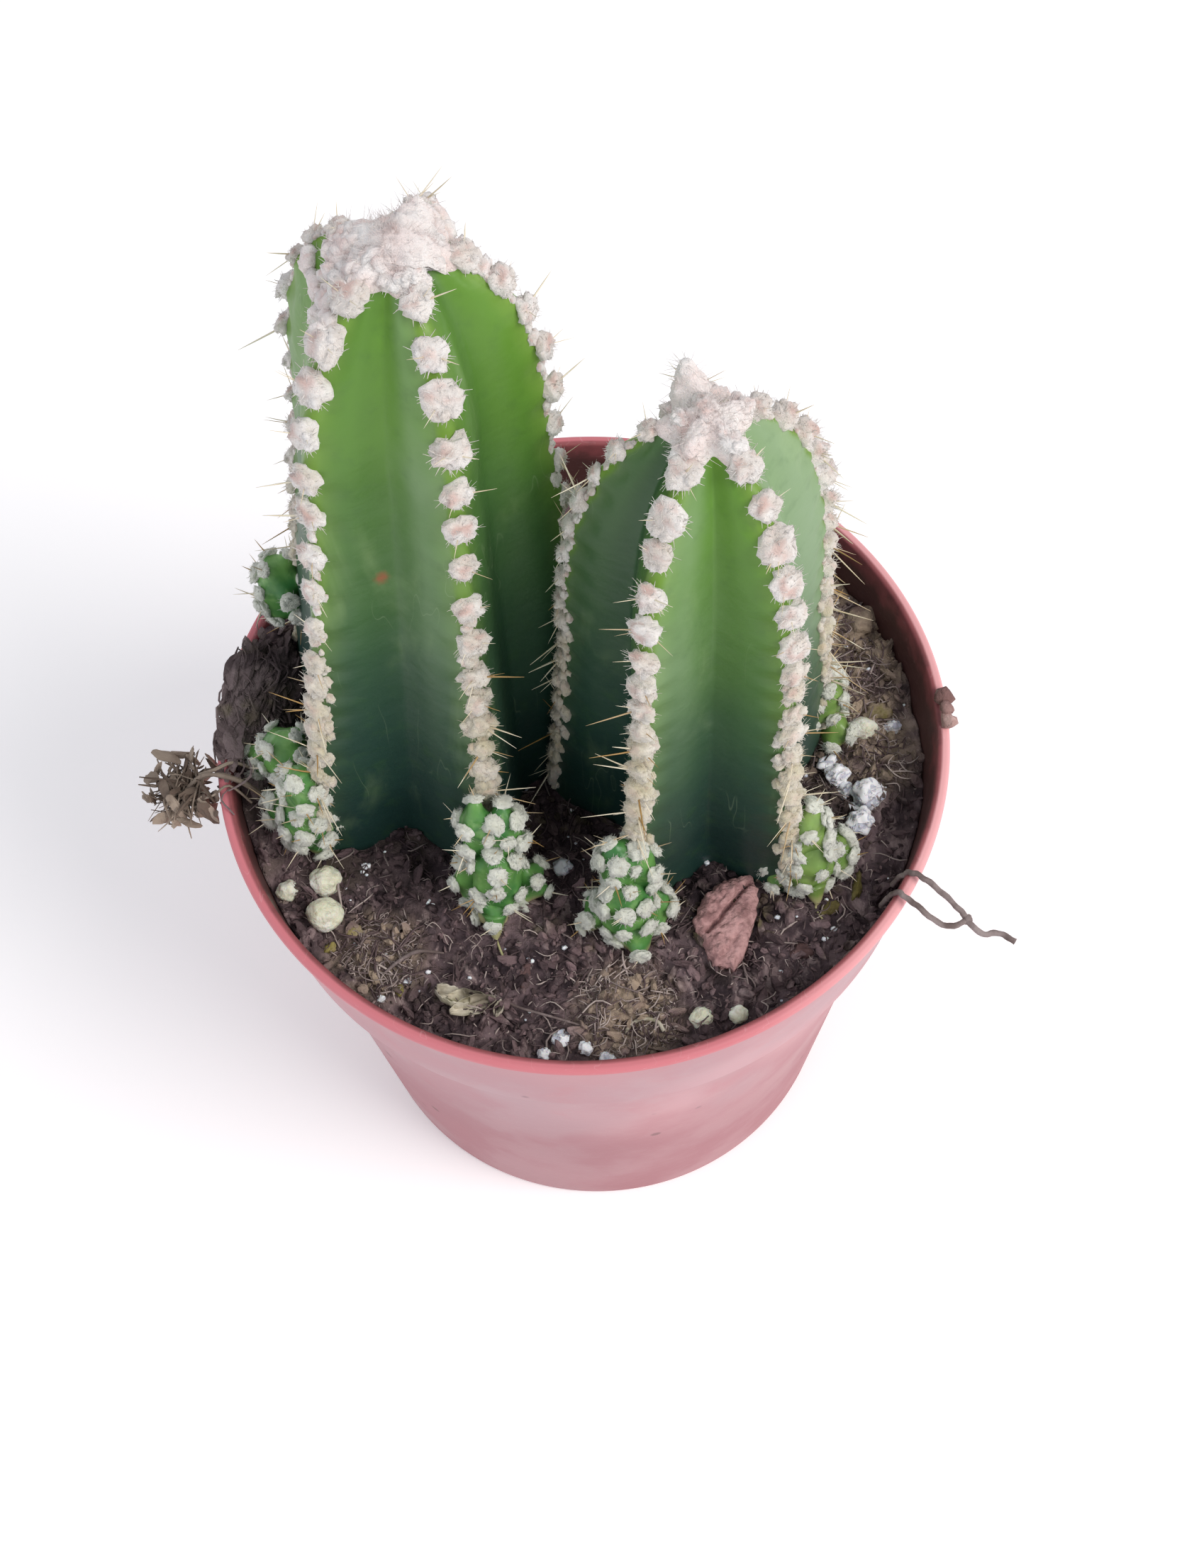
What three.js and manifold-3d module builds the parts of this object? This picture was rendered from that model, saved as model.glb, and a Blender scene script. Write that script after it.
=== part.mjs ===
// A potted columnar cactus: two five-ribbed stems with woolly areoles, spines and small pups,
// standing in peaty soil in a thin plastic pot. Millimetres, +Z up, the front is -Y, and the
// origin is the centre of the pot's underside.
import * as THREE from "three";
import { mergeVertices } from "three/addons/utils/BufferGeometryUtils.js";
import Module from "manifold-3d";

const wasm = await Module();
wasm.setup();

// ---------- driving dimensions ----------

const gap = 0.3; // between pieces that touch
const holeGap = 0.6; // round a stem's foot, measured along its radius, a little less square to a flank

const pot = {
  height: 72,
  rimRadius: 42.5,
  rimWidth: 1.5,
  beadDepth: 1.3, // the rounded lip at the top of the collar
  collarDepth: 16.6,
  collarFootRadius: 39.9,
  shoulderRadius: 38,
  footRadius: 31.6,
  footBevel: 1,
  wall: 1.1,
  floor: 1.6,
  drainHoles: 8,
  drainCircle: 23,
  drainRadius: 2.8,
  segments: 48,
};

const soil = {
  level: 65, // 7 below the rim
  relief: 0.55,
  heapHeight: 7.5, // where the peat is heaped against the rim, at the back left
  heapAzimuth: 163,
  heapSpread: 24,
  heapStart: 30, // the radius at which the heap starts to climb
  rings: [36.8, 34, 31, 27.6, 23.4, 18, 10],
  crumbs: 20,
};

// Ribs and pups are given by azimuth in degrees, anticlockwise from +X seen from above, and
// heights are above the soil's level. A pup stands by its centre line and its foot's height.
const tall = {
  foot: [-17.8, 5.1],
  lean: [4, 0.6],
  height: 85.1,
  lowRadius: 20.5,
  highRadius: 14.1,
  dome: 24.9,
  domePower: 2.65,
  valley: 0.61,
  ribs: [-71, -6, 73, 142, 228],
  areoles: { first: 2.6, crown: 4.2, upper: 5.6, lower: 4.7, crownEnd: 11, upperEnd: 48 },
  tuft: { high: 1.85, low: 1.45 },
  apexWool: 2.9,
  pups: [
    { at: [-10.9, -17.2], foot: -1.5, height: 16, radius: 4.1, dots: 13 },
    { at: [-31.6, -8.4], foot: -1.5, height: 14, radius: 3.6, dots: 11 },
    { at: [-33.6, -2.2], foot: 4, height: 11, radius: 3, dots: 8 },
    { at: [-33.2, 15.4], foot: 12, height: 11, radius: 3, dots: 8 },
  ],
};

const short = {
  foot: [13, -4.8],
  lean: [0.4, 0.5],
  height: 69.9,
  lowRadius: 17.2,
  highRadius: 14.6,
  dome: 38.2,
  domePower: 2.78,
  valley: 0.54,
  ribs: [-120, -55, 24, 92, 174],
  areoles: { first: 2.8, crown: 3.8, upper: 4.4, lower: 4.7, crownEnd: 12, upperEnd: 45 },
  tuft: { high: 1.75, low: 1.4 },
  apexWool: 2.7,
  pups: [
    { at: [3.6, -23.2], foot: -1.5, height: 15, radius: 3.9, dots: 13 },
    { at: [24.6, -17.6], foot: -1.5, height: 13, radius: 3.5, dots: 11 },
    { at: [28, 3.4], foot: -1.2, height: 10, radius: 2.9, dots: 8 },
  ],
};

const knobCorner = 1.22; // a knob's corner over its mean radius
const crest = { halfWidth: 1.25, share: 0.1, flankBulge: 0.035 };
const foot = { depth: 15, power: 2 }; // the part of a stem that stands in the soil
const spine = { length: 4.8, radius: 0.33, share: 0.75, sides: 3 };
const dot = { radius: 0.95 }; // a pup's small areole

// Loose things on the soil: the places of their middles, and their radii.
const pellets = [
  [-30.7, -14.3, 1.9],
  [-30.9, -18.7, 2.1],
  [-35.3, -14.9, 1.3],
  [11.1, -34.2, 1.3],
  [15.2, -34.3, 1.1],
  [8.9, -20.4, 0.9],
  [33.6, 1.4, 1.5],
  [31.6, 8.6, 1.1],
];
const perlite = [
  [29.6, -4.6, 1.5],
  [32.8, -7.4, 1.9],
  [31.4, -11.3, 1.6],
  [36.9, 1.8, 1],
  [-4.7, -35.6, 1.1],
  [-2, -37, 0.8],
  [0.4, -38.2, 0.9],
  [-6.6, -37.4, 0.8],
  [-3.4, -14.2, 1.1],
];
const chip = { length: 13, width: 7.6, thick: 1.8, at: [15.3, -24.6], turn: -78, tilt: 9 };
const threadLift = 0.5; // a thread's clearance over the soil's uneven top
const threads = {
  soil_fibre: {
    places: [[-12.6, -29.4], [-9.6, -31.4, 0.6], [-5.6, -33.2, 0.8], [-1.4, -34.7]],
    radius: 0.35,
    steps: 10,
  },
  soil_twig: { places: [[-24.6, -26.2], [-21.4, -25.6, 0.3], [-17.6, -24]], radius: 0.55, steps: 6 },
  husk: { places: [[-17.4, -30.4], [-14.6, -31.8, 0.5], [-11.8, -32.2]], radius: 0.8, steps: 5 },
};

// ---------- solids ----------

const radians = THREE.MathUtils.degToRad;

// A repeatable draw from 0 to 1.
function chance(i, salt) {
  const v = Math.sin(i * 12.9898 + salt * 78.233) * 43758.5453;
  return v - Math.floor(v);
}

function solidOf(geometry) {
  const bare = geometry.clone();
  bare.deleteAttribute("normal");
  bare.deleteAttribute("uv");
  const merged = mergeVertices(bare, 1e-4);
  const vertProperties = new Float32Array(merged.getAttribute("position").array);
  const triVerts = new Uint32Array(merged.index.array);
  return new wasm.Manifold(new wasm.Mesh({ numProp: 3, vertProperties, triVerts }));
}

function geometryOf(made) {
  const data = made.getMesh();
  const geometry = new THREE.BufferGeometry();
  geometry.setAttribute("position", new THREE.BufferAttribute(data.vertProperties, 3));
  geometry.setIndex(new THREE.BufferAttribute(data.triVerts, 1));
  geometry.computeVertexNormals();
  return geometry;
}

// The largest body of a solid: a scrap that a cut leaves loose is dropped.
function largest(made) {
  return made.decompose().reduce((a, b) => (b.volume() > a.volume() ? b : a));
}

// A closed skin through rings of points, all anticlockwise seen from above, between two poles.
function skin(low, rings, high) {
  const around = rings[0].length;
  const points = [low, ...rings.flat(), high];
  const at = (ring, i) => 1 + ring * around + (i % around);
  const top = rings.length - 1;
  const index = [];
  for (let i = 0; i < around; i++) {
    index.push(0, at(0, i + 1), at(0, i));
    for (let ring = 0; ring < top; ring++) {
      index.push(at(ring, i), at(ring, i + 1), at(ring + 1, i + 1));
      index.push(at(ring, i), at(ring + 1, i + 1), at(ring + 1, i));
    }
    index.push(points.length - 1, at(top, i), at(top, i + 1));
  }
  const geometry = new THREE.BufferGeometry();
  geometry.setAttribute("position", new THREE.Float32BufferAttribute(points.flat(), 3));
  geometry.setIndex(index);
  return geometry;
}

function lathe(profile, segments) {
  const points = profile.map(([r, z]) => new THREE.Vector2(r, z));
  return new THREE.LatheGeometry(points, segments).rotateX(Math.PI / 2);
}

// A lump: an icosahedron with each corner moved in or out a little.
function lump(radius, detail, roughness, salt) {
  const bare = new THREE.IcosahedronGeometry(radius, detail);
  bare.deleteAttribute("normal");
  bare.deleteAttribute("uv");
  const geometry = mergeVertices(bare, 1e-4);
  const place = geometry.getAttribute("position");
  for (let i = 0; i < place.count; i++) {
    const scale = 1 + roughness * (2 * chance(i, salt) - 1);
    place.setXYZ(i, place.getX(i) * scale, place.getY(i) * scale, place.getZ(i) * scale);
  }
  return geometry;
}

// A small eight-sided knob with one face turned outwards, so that it reads as a flat-topped bun.
// Its corners stand out past its mean radius.
function knob(radius, out, spin) {
  const turn = new THREE.Quaternion();
  turn.setFromUnitVectors(new THREE.Vector3(1, 1, 1).normalize(), out);
  turn.premultiply(new THREE.Quaternion().setFromAxisAngle(out, spin));
  return new THREE.OctahedronGeometry(knobCorner * radius).applyQuaternion(turn);
}

function tube(points, radius, sides, steps) {
  const outline = Array.from({ length: sides }, (_, i) => {
    const a = (2 * Math.PI * i) / sides;
    return new THREE.Vector2(radius * Math.cos(a), radius * Math.sin(a));
  });
  const extrudePath = new THREE.CatmullRomCurve3(points.map((p) => new THREE.Vector3(...p)));
  return new THREE.ExtrudeGeometry(new THREE.Shape(outline), { steps, extrudePath });
}

// ---------- the pot ----------

const collarFoot = pot.height - pot.collarDepth;

// The inner wall's radius at a height.
function innerRadius(z) {
  const bend = collarFoot + pot.wall;
  if (z > bend) {
    const t = (z - bend) / (pot.height - pot.beadDepth - bend);
    const top = pot.rimRadius - pot.rimWidth - 0.1;
    return THREE.MathUtils.lerp(pot.collarFootRadius - pot.wall, top, t);
  }
  const t = z / collarFoot;
  return THREE.MathUtils.lerp(pot.footRadius, pot.shoulderRadius, t) - pot.wall;
}

function potProfile() {
  const lip = pot.height - pot.beadDepth;
  const rim = pot.rimRadius;
  const inner = rim - pot.rimWidth;
  const bend = collarFoot + pot.wall;
  return [
    [0, 0],
    [pot.footRadius - pot.footBevel, 0],
    [pot.footRadius, pot.footBevel],
    [pot.shoulderRadius, collarFoot],
    [pot.collarFootRadius - 0.3, collarFoot],
    [pot.collarFootRadius, collarFoot + 0.4],
    [rim - 0.6, lip],
    [rim - 0.1, lip + 0.3],
    [rim, pot.height - 0.5],
    [rim - 0.35, pot.height],
    [inner + 0.3, pot.height],
    [inner - 0.1, lip],
    [innerRadius(bend + 0.01), bend],
    [innerRadius(collarFoot - 0.2), collarFoot - 0.2],
    [innerRadius(pot.floor), pot.floor],
    [0, pot.floor],
  ];
}

function makePot() {
  let made = solidOf(lathe(potProfile(), pot.segments));
  for (let i = 0; i < pot.drainHoles; i++) {
    const a = (2 * Math.PI * (i + 0.5)) / pot.drainHoles;
    const hole = new THREE.CylinderGeometry(pot.drainRadius, pot.drainRadius, 3 * pot.floor, 14);
    hole.rotateX(Math.PI / 2);
    hole.translate(pot.drainCircle * Math.cos(a), pot.drainCircle * Math.sin(a), pot.floor / 2);
    made = made.subtract(solidOf(hole));
  }
  return made;
}

// ---------- the stems ----------

// The middle of a stem at a height, and how far its ribs stand out there.
function axisAt(stem, z) {
  const t = (z - soil.level) / stem.height;
  return [stem.foot[0] + stem.lean[0] * t, stem.foot[1] + stem.lean[1] * t];
}

function ribRadius(stem, z) {
  const rise = z - soil.level;
  if (rise < 0) {
    const depth = Math.min(1, -rise / foot.depth);
    return stem.lowRadius * Math.sqrt(1 - depth ** foot.power);
  }
  const trunk = stem.height - stem.dome;
  const t = Math.min(1, rise / trunk);
  const u = THREE.MathUtils.clamp((rise - trunk) / stem.dome, 0, 1);
  const straight = THREE.MathUtils.lerp(stem.lowRadius, stem.highRadius, t);
  return straight * Math.sqrt(1 - u ** stem.domePower);
}

// The angle from each rib to the next one anticlockwise.
function sectors(stem) {
  const ribs = stem.ribs.map(radians).sort((a, b) => a - b);
  return ribs.map((a, i) => {
    const next = i + 1 < ribs.length ? ribs[i + 1] : ribs[0] + 2 * Math.PI;
    return { from: a, to: next, middle: (a + next) / 2 };
  });
}

// One ring round a stem: from each crest down a nearly flat flank to the valley and up the next.
function section(stem, z, grow) {
  const reach = ribRadius(stem, z);
  const radius = reach + grow;
  const [x, y] = axisAt(stem, z);
  const half = Math.min(crest.halfWidth, crest.share * reach) + grow * 0.5;
  const polar = (r, a) => new THREE.Vector2(r * Math.cos(a), r * Math.sin(a));
  const ring = [];
  for (const { from, to, middle } of sectors(stem)) {
    const valley = polar(stem.valley * reach + grow, middle);
    const side = (azimuth, sense) => {
      const edge = polar(radius - 0.3 * half, azimuth).add(polar(sense * half, azimuth + Math.PI / 2));
      return [0, 0.5].map((s) => {
        const out = valley.clone().sub(edge).rotateAround(new THREE.Vector2(), -sense * Math.PI / 2);
        out.setLength(crest.flankBulge * reach * Math.sin(Math.PI * s));
        return edge.clone().lerp(valley, s).add(out);
      });
    };
    const down = side(from, 1);
    const up = side(to, -1).reverse();
    ring.push(...down, valley, ...up);
  }
  return ring.map((p) => [x + p.x, y + p.y, z]);
}

function stemBody(stem, grow) {
  const bottom = soil.level - foot.depth;
  const top = soil.level + stem.height;
  const low = [0.04, 0.25, 0.6, 1].map((t) => bottom + foot.depth * t);
  const trunk = stem.height - stem.dome;
  const middle = [0.34, 0.67, 1].map((t) => soil.level + trunk * t);
  const dome = [0.3, 0.5, 0.66, 0.79, 0.89, 0.96, 0.993].map((t) => top - stem.dome * (1 - t));
  const rings = [...low, ...middle, ...dome].map((z) => section(stem, z, grow));
  const lowPole = [...axisAt(stem, bottom), bottom - 2 * grow];
  const highPole = [...axisAt(stem, top), top + grow];
  return skin(lowPole, rings, highPole);
}

// The areoles down one crest: each one's place, the way out from the crest and the way down it.
function areoles(stem, azimuth) {
  const top = soil.level + stem.height;
  const spots = [];
  const steps = 400;
  const on = (z) => {
    const [x, y] = axisAt(stem, z);
    const r = ribRadius(stem, z);
    return new THREE.Vector3(x + r * Math.cos(azimuth), y + r * Math.sin(azimuth), z);
  };
  // Even steps of angle over the dome keep its nearly level top as finely stepped as its side.
  const heights = Array.from({ length: steps + 1 }, (_, i) => {
    const t = i / steps;
    return top - stem.height * (1 - Math.sqrt(1 - t * t));
  });
  const { first, crown, upper, lower, crownEnd, upperEnd } = stem.areoles;
  let walked = 0;
  let next = first;
  for (let i = 1; i <= steps; i++) {
    const above = on(heights[i - 1]);
    const here = on(heights[i]);
    const down = here.clone().sub(above);
    walked += down.length();
    if (walked < next) continue;
    down.normalize();
    const across = new THREE.Vector3(-Math.sin(azimuth), Math.cos(azimuth), 0);
    spots.push({ place: here, down, across, out: across.clone().cross(down).negate(), walked });
    next += walked < crownEnd ? crown : walked < upperEnd ? upper : lower;
  }
  return spots;
}

// How far out a stem's flank stands at an azimuth: a straight line from crest to valley.
function flankRadius(stem, azimuth, z) {
  const reach = ribRadius(stem, z);
  const turn = 2 * Math.PI;
  for (const { from, to, middle } of sectors(stem)) {
    const a = from + ((((azimuth - from) % turn) + turn) % turn);
    if (a > to) continue;
    const half = middle - from;
    const off = a < middle ? a - from : to - a;
    const valley = stem.valley * reach;
    return (reach * valley * Math.sin(half)) / (reach * Math.sin(off) + valley * Math.sin(half - off));
  }
  return reach;
}

// Whether a point keeps a margin from a stem, measured level.
function clearOf(stem, p, margin) {
  if (p.z > soil.level + stem.height + margin) return true;
  const [x, y] = axisAt(stem, Math.min(p.z, soil.level + stem.height));
  const away = Math.hypot(p.x - x, p.y - y);
  const z = Math.min(p.z, soil.level + stem.height - 1);
  return away > flankRadius(stem, Math.atan2(p.y - y, p.x - x), z) + margin;
}

// Whether a point stands a distance or more above the soil, which also rises between its points.
function aboveSoil(p, distance) {
  const around = [[0, 0], [2, 0], [-2, 0], [0, 2], [0, -2]];
  return around.every(([x, y]) => p.z > soilHeight(p.x + x, p.y + y) + distance);
}

// A tapered needle with few sides, from a root to a tip.
function needle(root, tip) {
  const length = tip.distanceTo(root);
  const cone = new THREE.ConeGeometry(spine.radius, length, spine.sides);
  cone.translate(0, length / 2, 0);
  const turn = new THREE.Quaternion();
  turn.setFromUnitVectors(new THREE.Vector3(0, 1, 0), tip.clone().sub(root).normalize());
  return cone.applyQuaternion(turn).translate(root.x, root.y, root.z);
}

function pupShape(pup, grow) {
  const ball = new THREE.SphereGeometry(1, 8, 5).rotateX(Math.PI / 2);
  ball.scale(pup.radius + grow, pup.radius + grow, pup.height / 2 + grow);
  return ball.translate(pup.at[0], pup.at[1], soil.level + pup.foot + pup.height / 2);
}

// A pup is a small knobbly stem: its areoles wind up it by the golden angle.
function pupPieces(pup, salt) {
  const pieces = [pupShape(pup, 0)];
  const golden = Math.PI * (3 - Math.sqrt(5));
  const size = new THREE.Vector3(pup.radius, pup.radius, pup.height / 2);
  for (let i = 0; i < pup.dots; i++) {
    const z = 1 - (1.5 * (i + 0.5)) / pup.dots;
    const level = Math.sqrt(1 - z * z);
    const a = golden * i + salt;
    const p = new THREE.Vector3(level * Math.cos(a), level * Math.sin(a), z);
    const out = p.clone().divide(size).normalize();
    p.multiply(size);
    const ball = knob(dot.radius, out, i);
    ball.translate(p.x + pup.at[0], p.y + pup.at[1], p.z + soil.level + pup.foot + pup.height / 2);
    ball.computeBoundingBox();
    if (aboveSoil(ball.boundingBox.getCenter(p), knobCorner * dot.radius + 0.5)) pieces.push(ball);
  }
  return pieces;
}

function makeStem(stem, other, salt) {
  const pieces = [stemBody(stem, 0)];
  const top = soil.level + stem.height;
  const cap = lump(stem.apexWool, 1, 0.06, salt).scale(1, 1, 0.55);
  pieces.push(cap.translate(...axisAt(stem, top), top + 0.2));
  stem.ribs.forEach((degrees, rib) => {
    areoles(stem, radians(degrees)).forEach(({ place, down, across, out }, i) => {
      const draw = (k) => chance(31 * rib + i, salt + k);
      const t = (place.z - soil.level) / stem.height;
      const radius = THREE.MathUtils.lerp(stem.tuft.low, stem.tuft.high, t);
      const middle = place.clone().addScaledVector(out, 0.15 * radius);
      if (!aboveSoil(middle, knobCorner * radius + 0.5) || !clearOf(other, middle, 1.5 * radius)) return;
      const ball = knob(radius, out, 2 * Math.PI * draw(1));
      pieces.push(ball.translate(middle.x, middle.y, middle.z));
      if (draw(3) > spine.share) return;
      const sense = (i + rib) % 2 ? 1 : -1;
      const aim = out.clone().multiplyScalar(0.35 + 0.5 * draw(4));
      aim.addScaledVector(across, sense).addScaledVector(down, 0.7 * draw(5) - 0.3).normalize();
      const root = middle.clone().addScaledVector(aim, 0.2 * radius);
      const tip = root.clone().addScaledVector(aim, spine.length * (0.8 + 0.4 * draw(6)));
      const along = [0.4, 0.6, 0.8, 1].map((s) => root.clone().lerp(tip, s));
      if (along.some((p) => !clearOf(other, p, 2.4) || !aboveSoil(p, 1))) return;
      pieces.push(needle(root, tip));
    });
  });
  stem.pups.forEach((pup, i) => pieces.push(...pupPieces(pup, salt + 5 * i)));
  return largest(wasm.Manifold.union(pieces.map(solidOf)));
}

// ---------- the soil ----------

// The height of the soil's top: low waves, a rise to the stems, and the heap at the back left.
function soilHeight(x, y) {
  const waves =
    Math.sin(0.43 * x + 1.3) * Math.cos(0.38 * y - 0.6) +
    0.6 * Math.sin(0.91 * x - 0.74 * y + 2.1) +
    0.4 * Math.cos(1.37 * x + 1.13 * y);
  const r = Math.hypot(x, y);
  const azimuth = THREE.MathUtils.radToDeg(Math.atan2(y, x));
  const off = THREE.MathUtils.euclideanModulo(azimuth - soil.heapAzimuth + 180, 360) - 180;
  const climb = THREE.MathUtils.smoothstep(r, soil.heapStart, pot.rimRadius - 2);
  const heap = soil.heapHeight * climb * Math.exp(-((off / soil.heapSpread) ** 2));
  return soil.level + soil.relief * waves + heap;
}

function soilBody() {
  const ring = (r, height) =>
    Array.from({ length: pot.segments }, (_, i) => {
      const a = (2 * Math.PI * i) / pot.segments;
      const x = r * Math.cos(a);
      const y = r * Math.sin(a);
      return [x, y, height === undefined ? soilHeight(x, y) : height];
    });
  const bottom = pot.floor + gap;
  const wallRing = (radiusAt, z) => ring(innerRadius(radiusAt) - gap, z);
  const rings = [
    wallRing(bottom, bottom),
    wallRing(collarFoot - 0.2, collarFoot - 0.1),
    wallRing(collarFoot + pot.wall + 0.01, collarFoot + pot.wall + 1.5 * gap),
    ring(innerRadius(soil.level - 3) - gap),
    ...soil.rings.map((r) => ring(r)),
  ];
  return skin([0, 0, bottom], rings, [0, 0, soilHeight(0, 0)]);
}

function makeSoil(stems, seats) {
  const pieces = [soilBody()];
  for (let i = 0; i < soil.crumbs; i++) {
    const r = 38 * Math.sqrt(chance(i, 1));
    const a = 2 * Math.PI * chance(i, 2);
    const x = r * Math.cos(a);
    const y = r * Math.sin(a);
    const size = 0.7 + 0.9 * chance(i, 3);
    const spot = new THREE.Vector3(x, y, soil.level);
    if (stems.some((stem) => !clearOf(stem, spot, 3 + size))) continue;
    const up = new THREE.Vector3(0, 0, 1);
    pieces.push(knob(size, up, i).translate(x, y, soilHeight(x, y) + 0.1 * size));
  }
  const holes = stems.flatMap((stem) => [
    stemBody(stem, holeGap),
    ...stem.pups.map((pup) => pupShape(pup, holeGap)),
  ]);
  const cut = wasm.Manifold.union([...holes, ...seats].map(solidOf));
  return largest(wasm.Manifold.union(pieces.map(solidOf)).subtract(cut));
}

// ---------- loose things ----------

// A lump that sits a third sunk in the soil, and the seat that it needs there.
function seatedLump([x, y, radius], detail, roughness, salt) {
  const z = soilHeight(x, y) + 0.35 * radius;
  const shape = (grow, fine) => {
    const geometry = lump(radius + grow, fine, roughness, salt);
    return geometry.scale(1, 0.93, 0.86).translate(x, y, z);
  };
  return { piece: shape(0, detail), seat: detail ? shape(3 * gap, 0) : shape(1.5 * gap, 0) };
}

function barkChip() {
  const outline = [
    [-0.5, -0.2],
    [-0.36, -0.46],
    [0.02, -0.5],
    [0.3, -0.36],
    [0.5, -0.12],
    [0.44, 0.2],
    [0.16, 0.32],
    [0.06, 0.5],
    [-0.3, 0.42],
  ];
  const shape = (grow) => {
    const scaled = ([u, v]) => new THREE.Vector2(u * (chip.length + 2 * grow), v * (chip.width + 2 * grow));
    const flat = new THREE.Shape(outline.map(scaled));
    const slab = new THREE.ExtrudeGeometry(flat, { depth: chip.thick + 2 * grow, bevelEnabled: false });
    slab.translate(0, 0, -grow);
    slab.rotateX(radians(chip.tilt)).rotateZ(radians(chip.turn));
    return slab.translate(...chip.at, soilHeight(...chip.at) - 0.3);
  };
  return { piece: shape(0), seat: shape(1.4 * gap) };
}

// A thread laid over the soil through places seen from above.
function laid(places, radius, steps) {
  const points = places.map(([x, y, rise = 0]) => [x, y, soilHeight(x, y) + radius + threadLift + rise]);
  return tube(points, radius, 5, steps);
}

function rimRoot() {
  const fork = [41.2, -27.2, 71.4];
  const near = [
    [32, -20.2, 67],
    [32.4, -22.4, 71.4],
    [33.6, -24, 73.3],
    [36, -26.6, 73.5],
    [38.8, -28.4, 72.4],
  ];
  const far = [
    [30.6, -17, 66.9],
    [33, -19.6, 70.6],
    [34.7, -20.9, 73.1],
    [37, -22.6, 73.6],
    [39.4, -25, 72.3],
  ];
  const end = [
    [40.9, -27.1, 71.5],
    [42.6, -28.9, 71.1],
    [44.4, -28.8, 70.8],
    [46.2, -29.8, 70.4],
  ];
  const strands = [[...near, fork], [...far, fork], end];
  return largest(wasm.Manifold.union(strands.map((line) => solidOf(tube(line, 0.45, 4, 7)))));
}

// Root fibres and crumbs that hang together over the left rim.
function rimTangle() {
  const core = [-46.2, -2.6, 70.4];
  const pieces = [lump(2.4, 0, 0.2, 3).scale(1, 1.25, 0.8).translate(...core)];
  const over = [[-37.6, -4.4, 69.4], [-39.6, -4, 72.2], [-42, -3.6, 73.4], [-44.4, -3, 72.2], core];
  pieces.push(tube(over, 0.55, 5, 8));
  const fibres = 9;
  for (let i = 0; i < fibres; i++) {
    const a = Math.PI * (0.42 + (1.2 * i) / fibres);
    const reach = 3.6 + 2.6 * chance(i, 8);
    const drop = 3.2 * (chance(i, 9) - 0.62);
    const bend = 1.6 * (chance(i, 10) - 0.5);
    const mid = [core[0] + 0.55 * reach * Math.cos(a), core[1] + 0.6 * reach * Math.sin(a) + bend];
    const end = [core[0] + reach * Math.cos(a), core[1] + reach * Math.sin(a)];
    const line = [core, [...mid, core[2] + 0.7], [...end, core[2] + drop]];
    pieces.push(tube(line, 0.45, 3, 3));
    if (i % 3 === 1) pieces.push(lump(0.95, 0, 0.25, i).translate(...end, core[2] + drop));
  }
  return largest(wasm.Manifold.union(pieces.map(solidOf)));
}

// ---------- the assembly ----------

const finishes = {
  plastic: { color: 0xd08487, roughness: 0.5 },
  peat: { color: 0x3d2d2a, roughness: 0.98 },
  green: { color: 0x5b8a3a, roughness: 0.6 },
  bark: { color: 0x7d5247, roughness: 0.95 },
  feed: { color: 0xc9cc98, roughness: 0.6 },
  perlite: { color: 0xe6e4e6, roughness: 0.9 },
  straw: { color: 0x8f7c66, roughness: 0.9 },
};

const cactus = new THREE.Group();

function add(name, geometry, finish) {
  const material = new THREE.MeshStandardMaterial({ ...finishes[finish], metalness: 0 });
  const mesh = new THREE.Mesh(geometry, material);
  mesh.name = name;
  cactus.add(mesh);
}

const feed = pellets.map((spot, i) => seatedLump(spot, spot[2] > 1.4 ? 1 : 0, 0.03, i));
const white = perlite.map((spot, i) => seatedLump(spot, 0, 0.16, i + 20));
const bark = barkChip();
const seats = [...feed, ...white, bark].map(({ seat }) => seat);

add("pot", geometryOf(makePot()), "plastic");
add("soil", geometryOf(makeSoil([tall, short], seats)), "peat");
add("tall_cactus", geometryOf(makeStem(tall, short, 11)), "green");
add("short_cactus", geometryOf(makeStem(short, tall, 47)), "green");
add("bark_chip", bark.piece, "bark");
feed.forEach(({ piece }, i) => add(`pellet_${i + 1}`, piece, "feed"));
white.forEach(({ piece }, i) => add(`perlite_${i + 1}`, piece, "perlite"));
for (const [name, { places, radius, steps }] of Object.entries(threads)) {
  add(name, laid(places, radius, steps), "straw");
}
add("rim_root", geometryOf(rimRoot()), "straw");
add("rim_tangle", geometryOf(rimTangle()), "straw");
add("rim_crumb", lump(1.3, 0, 0.2, 5).scale(0.8, 2.2, 0.7).translate(42.2, -0.6, pot.height + 1.35), "peat");

export default cactus;
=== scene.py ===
import random
from bisect import bisect_right
from math import acos, atan2, cos, degrees, exp, hypot, pi, radians, sin, sqrt

import bmesh
import bpy
from mathutils import Matrix, Quaternion, Vector, noise


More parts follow.
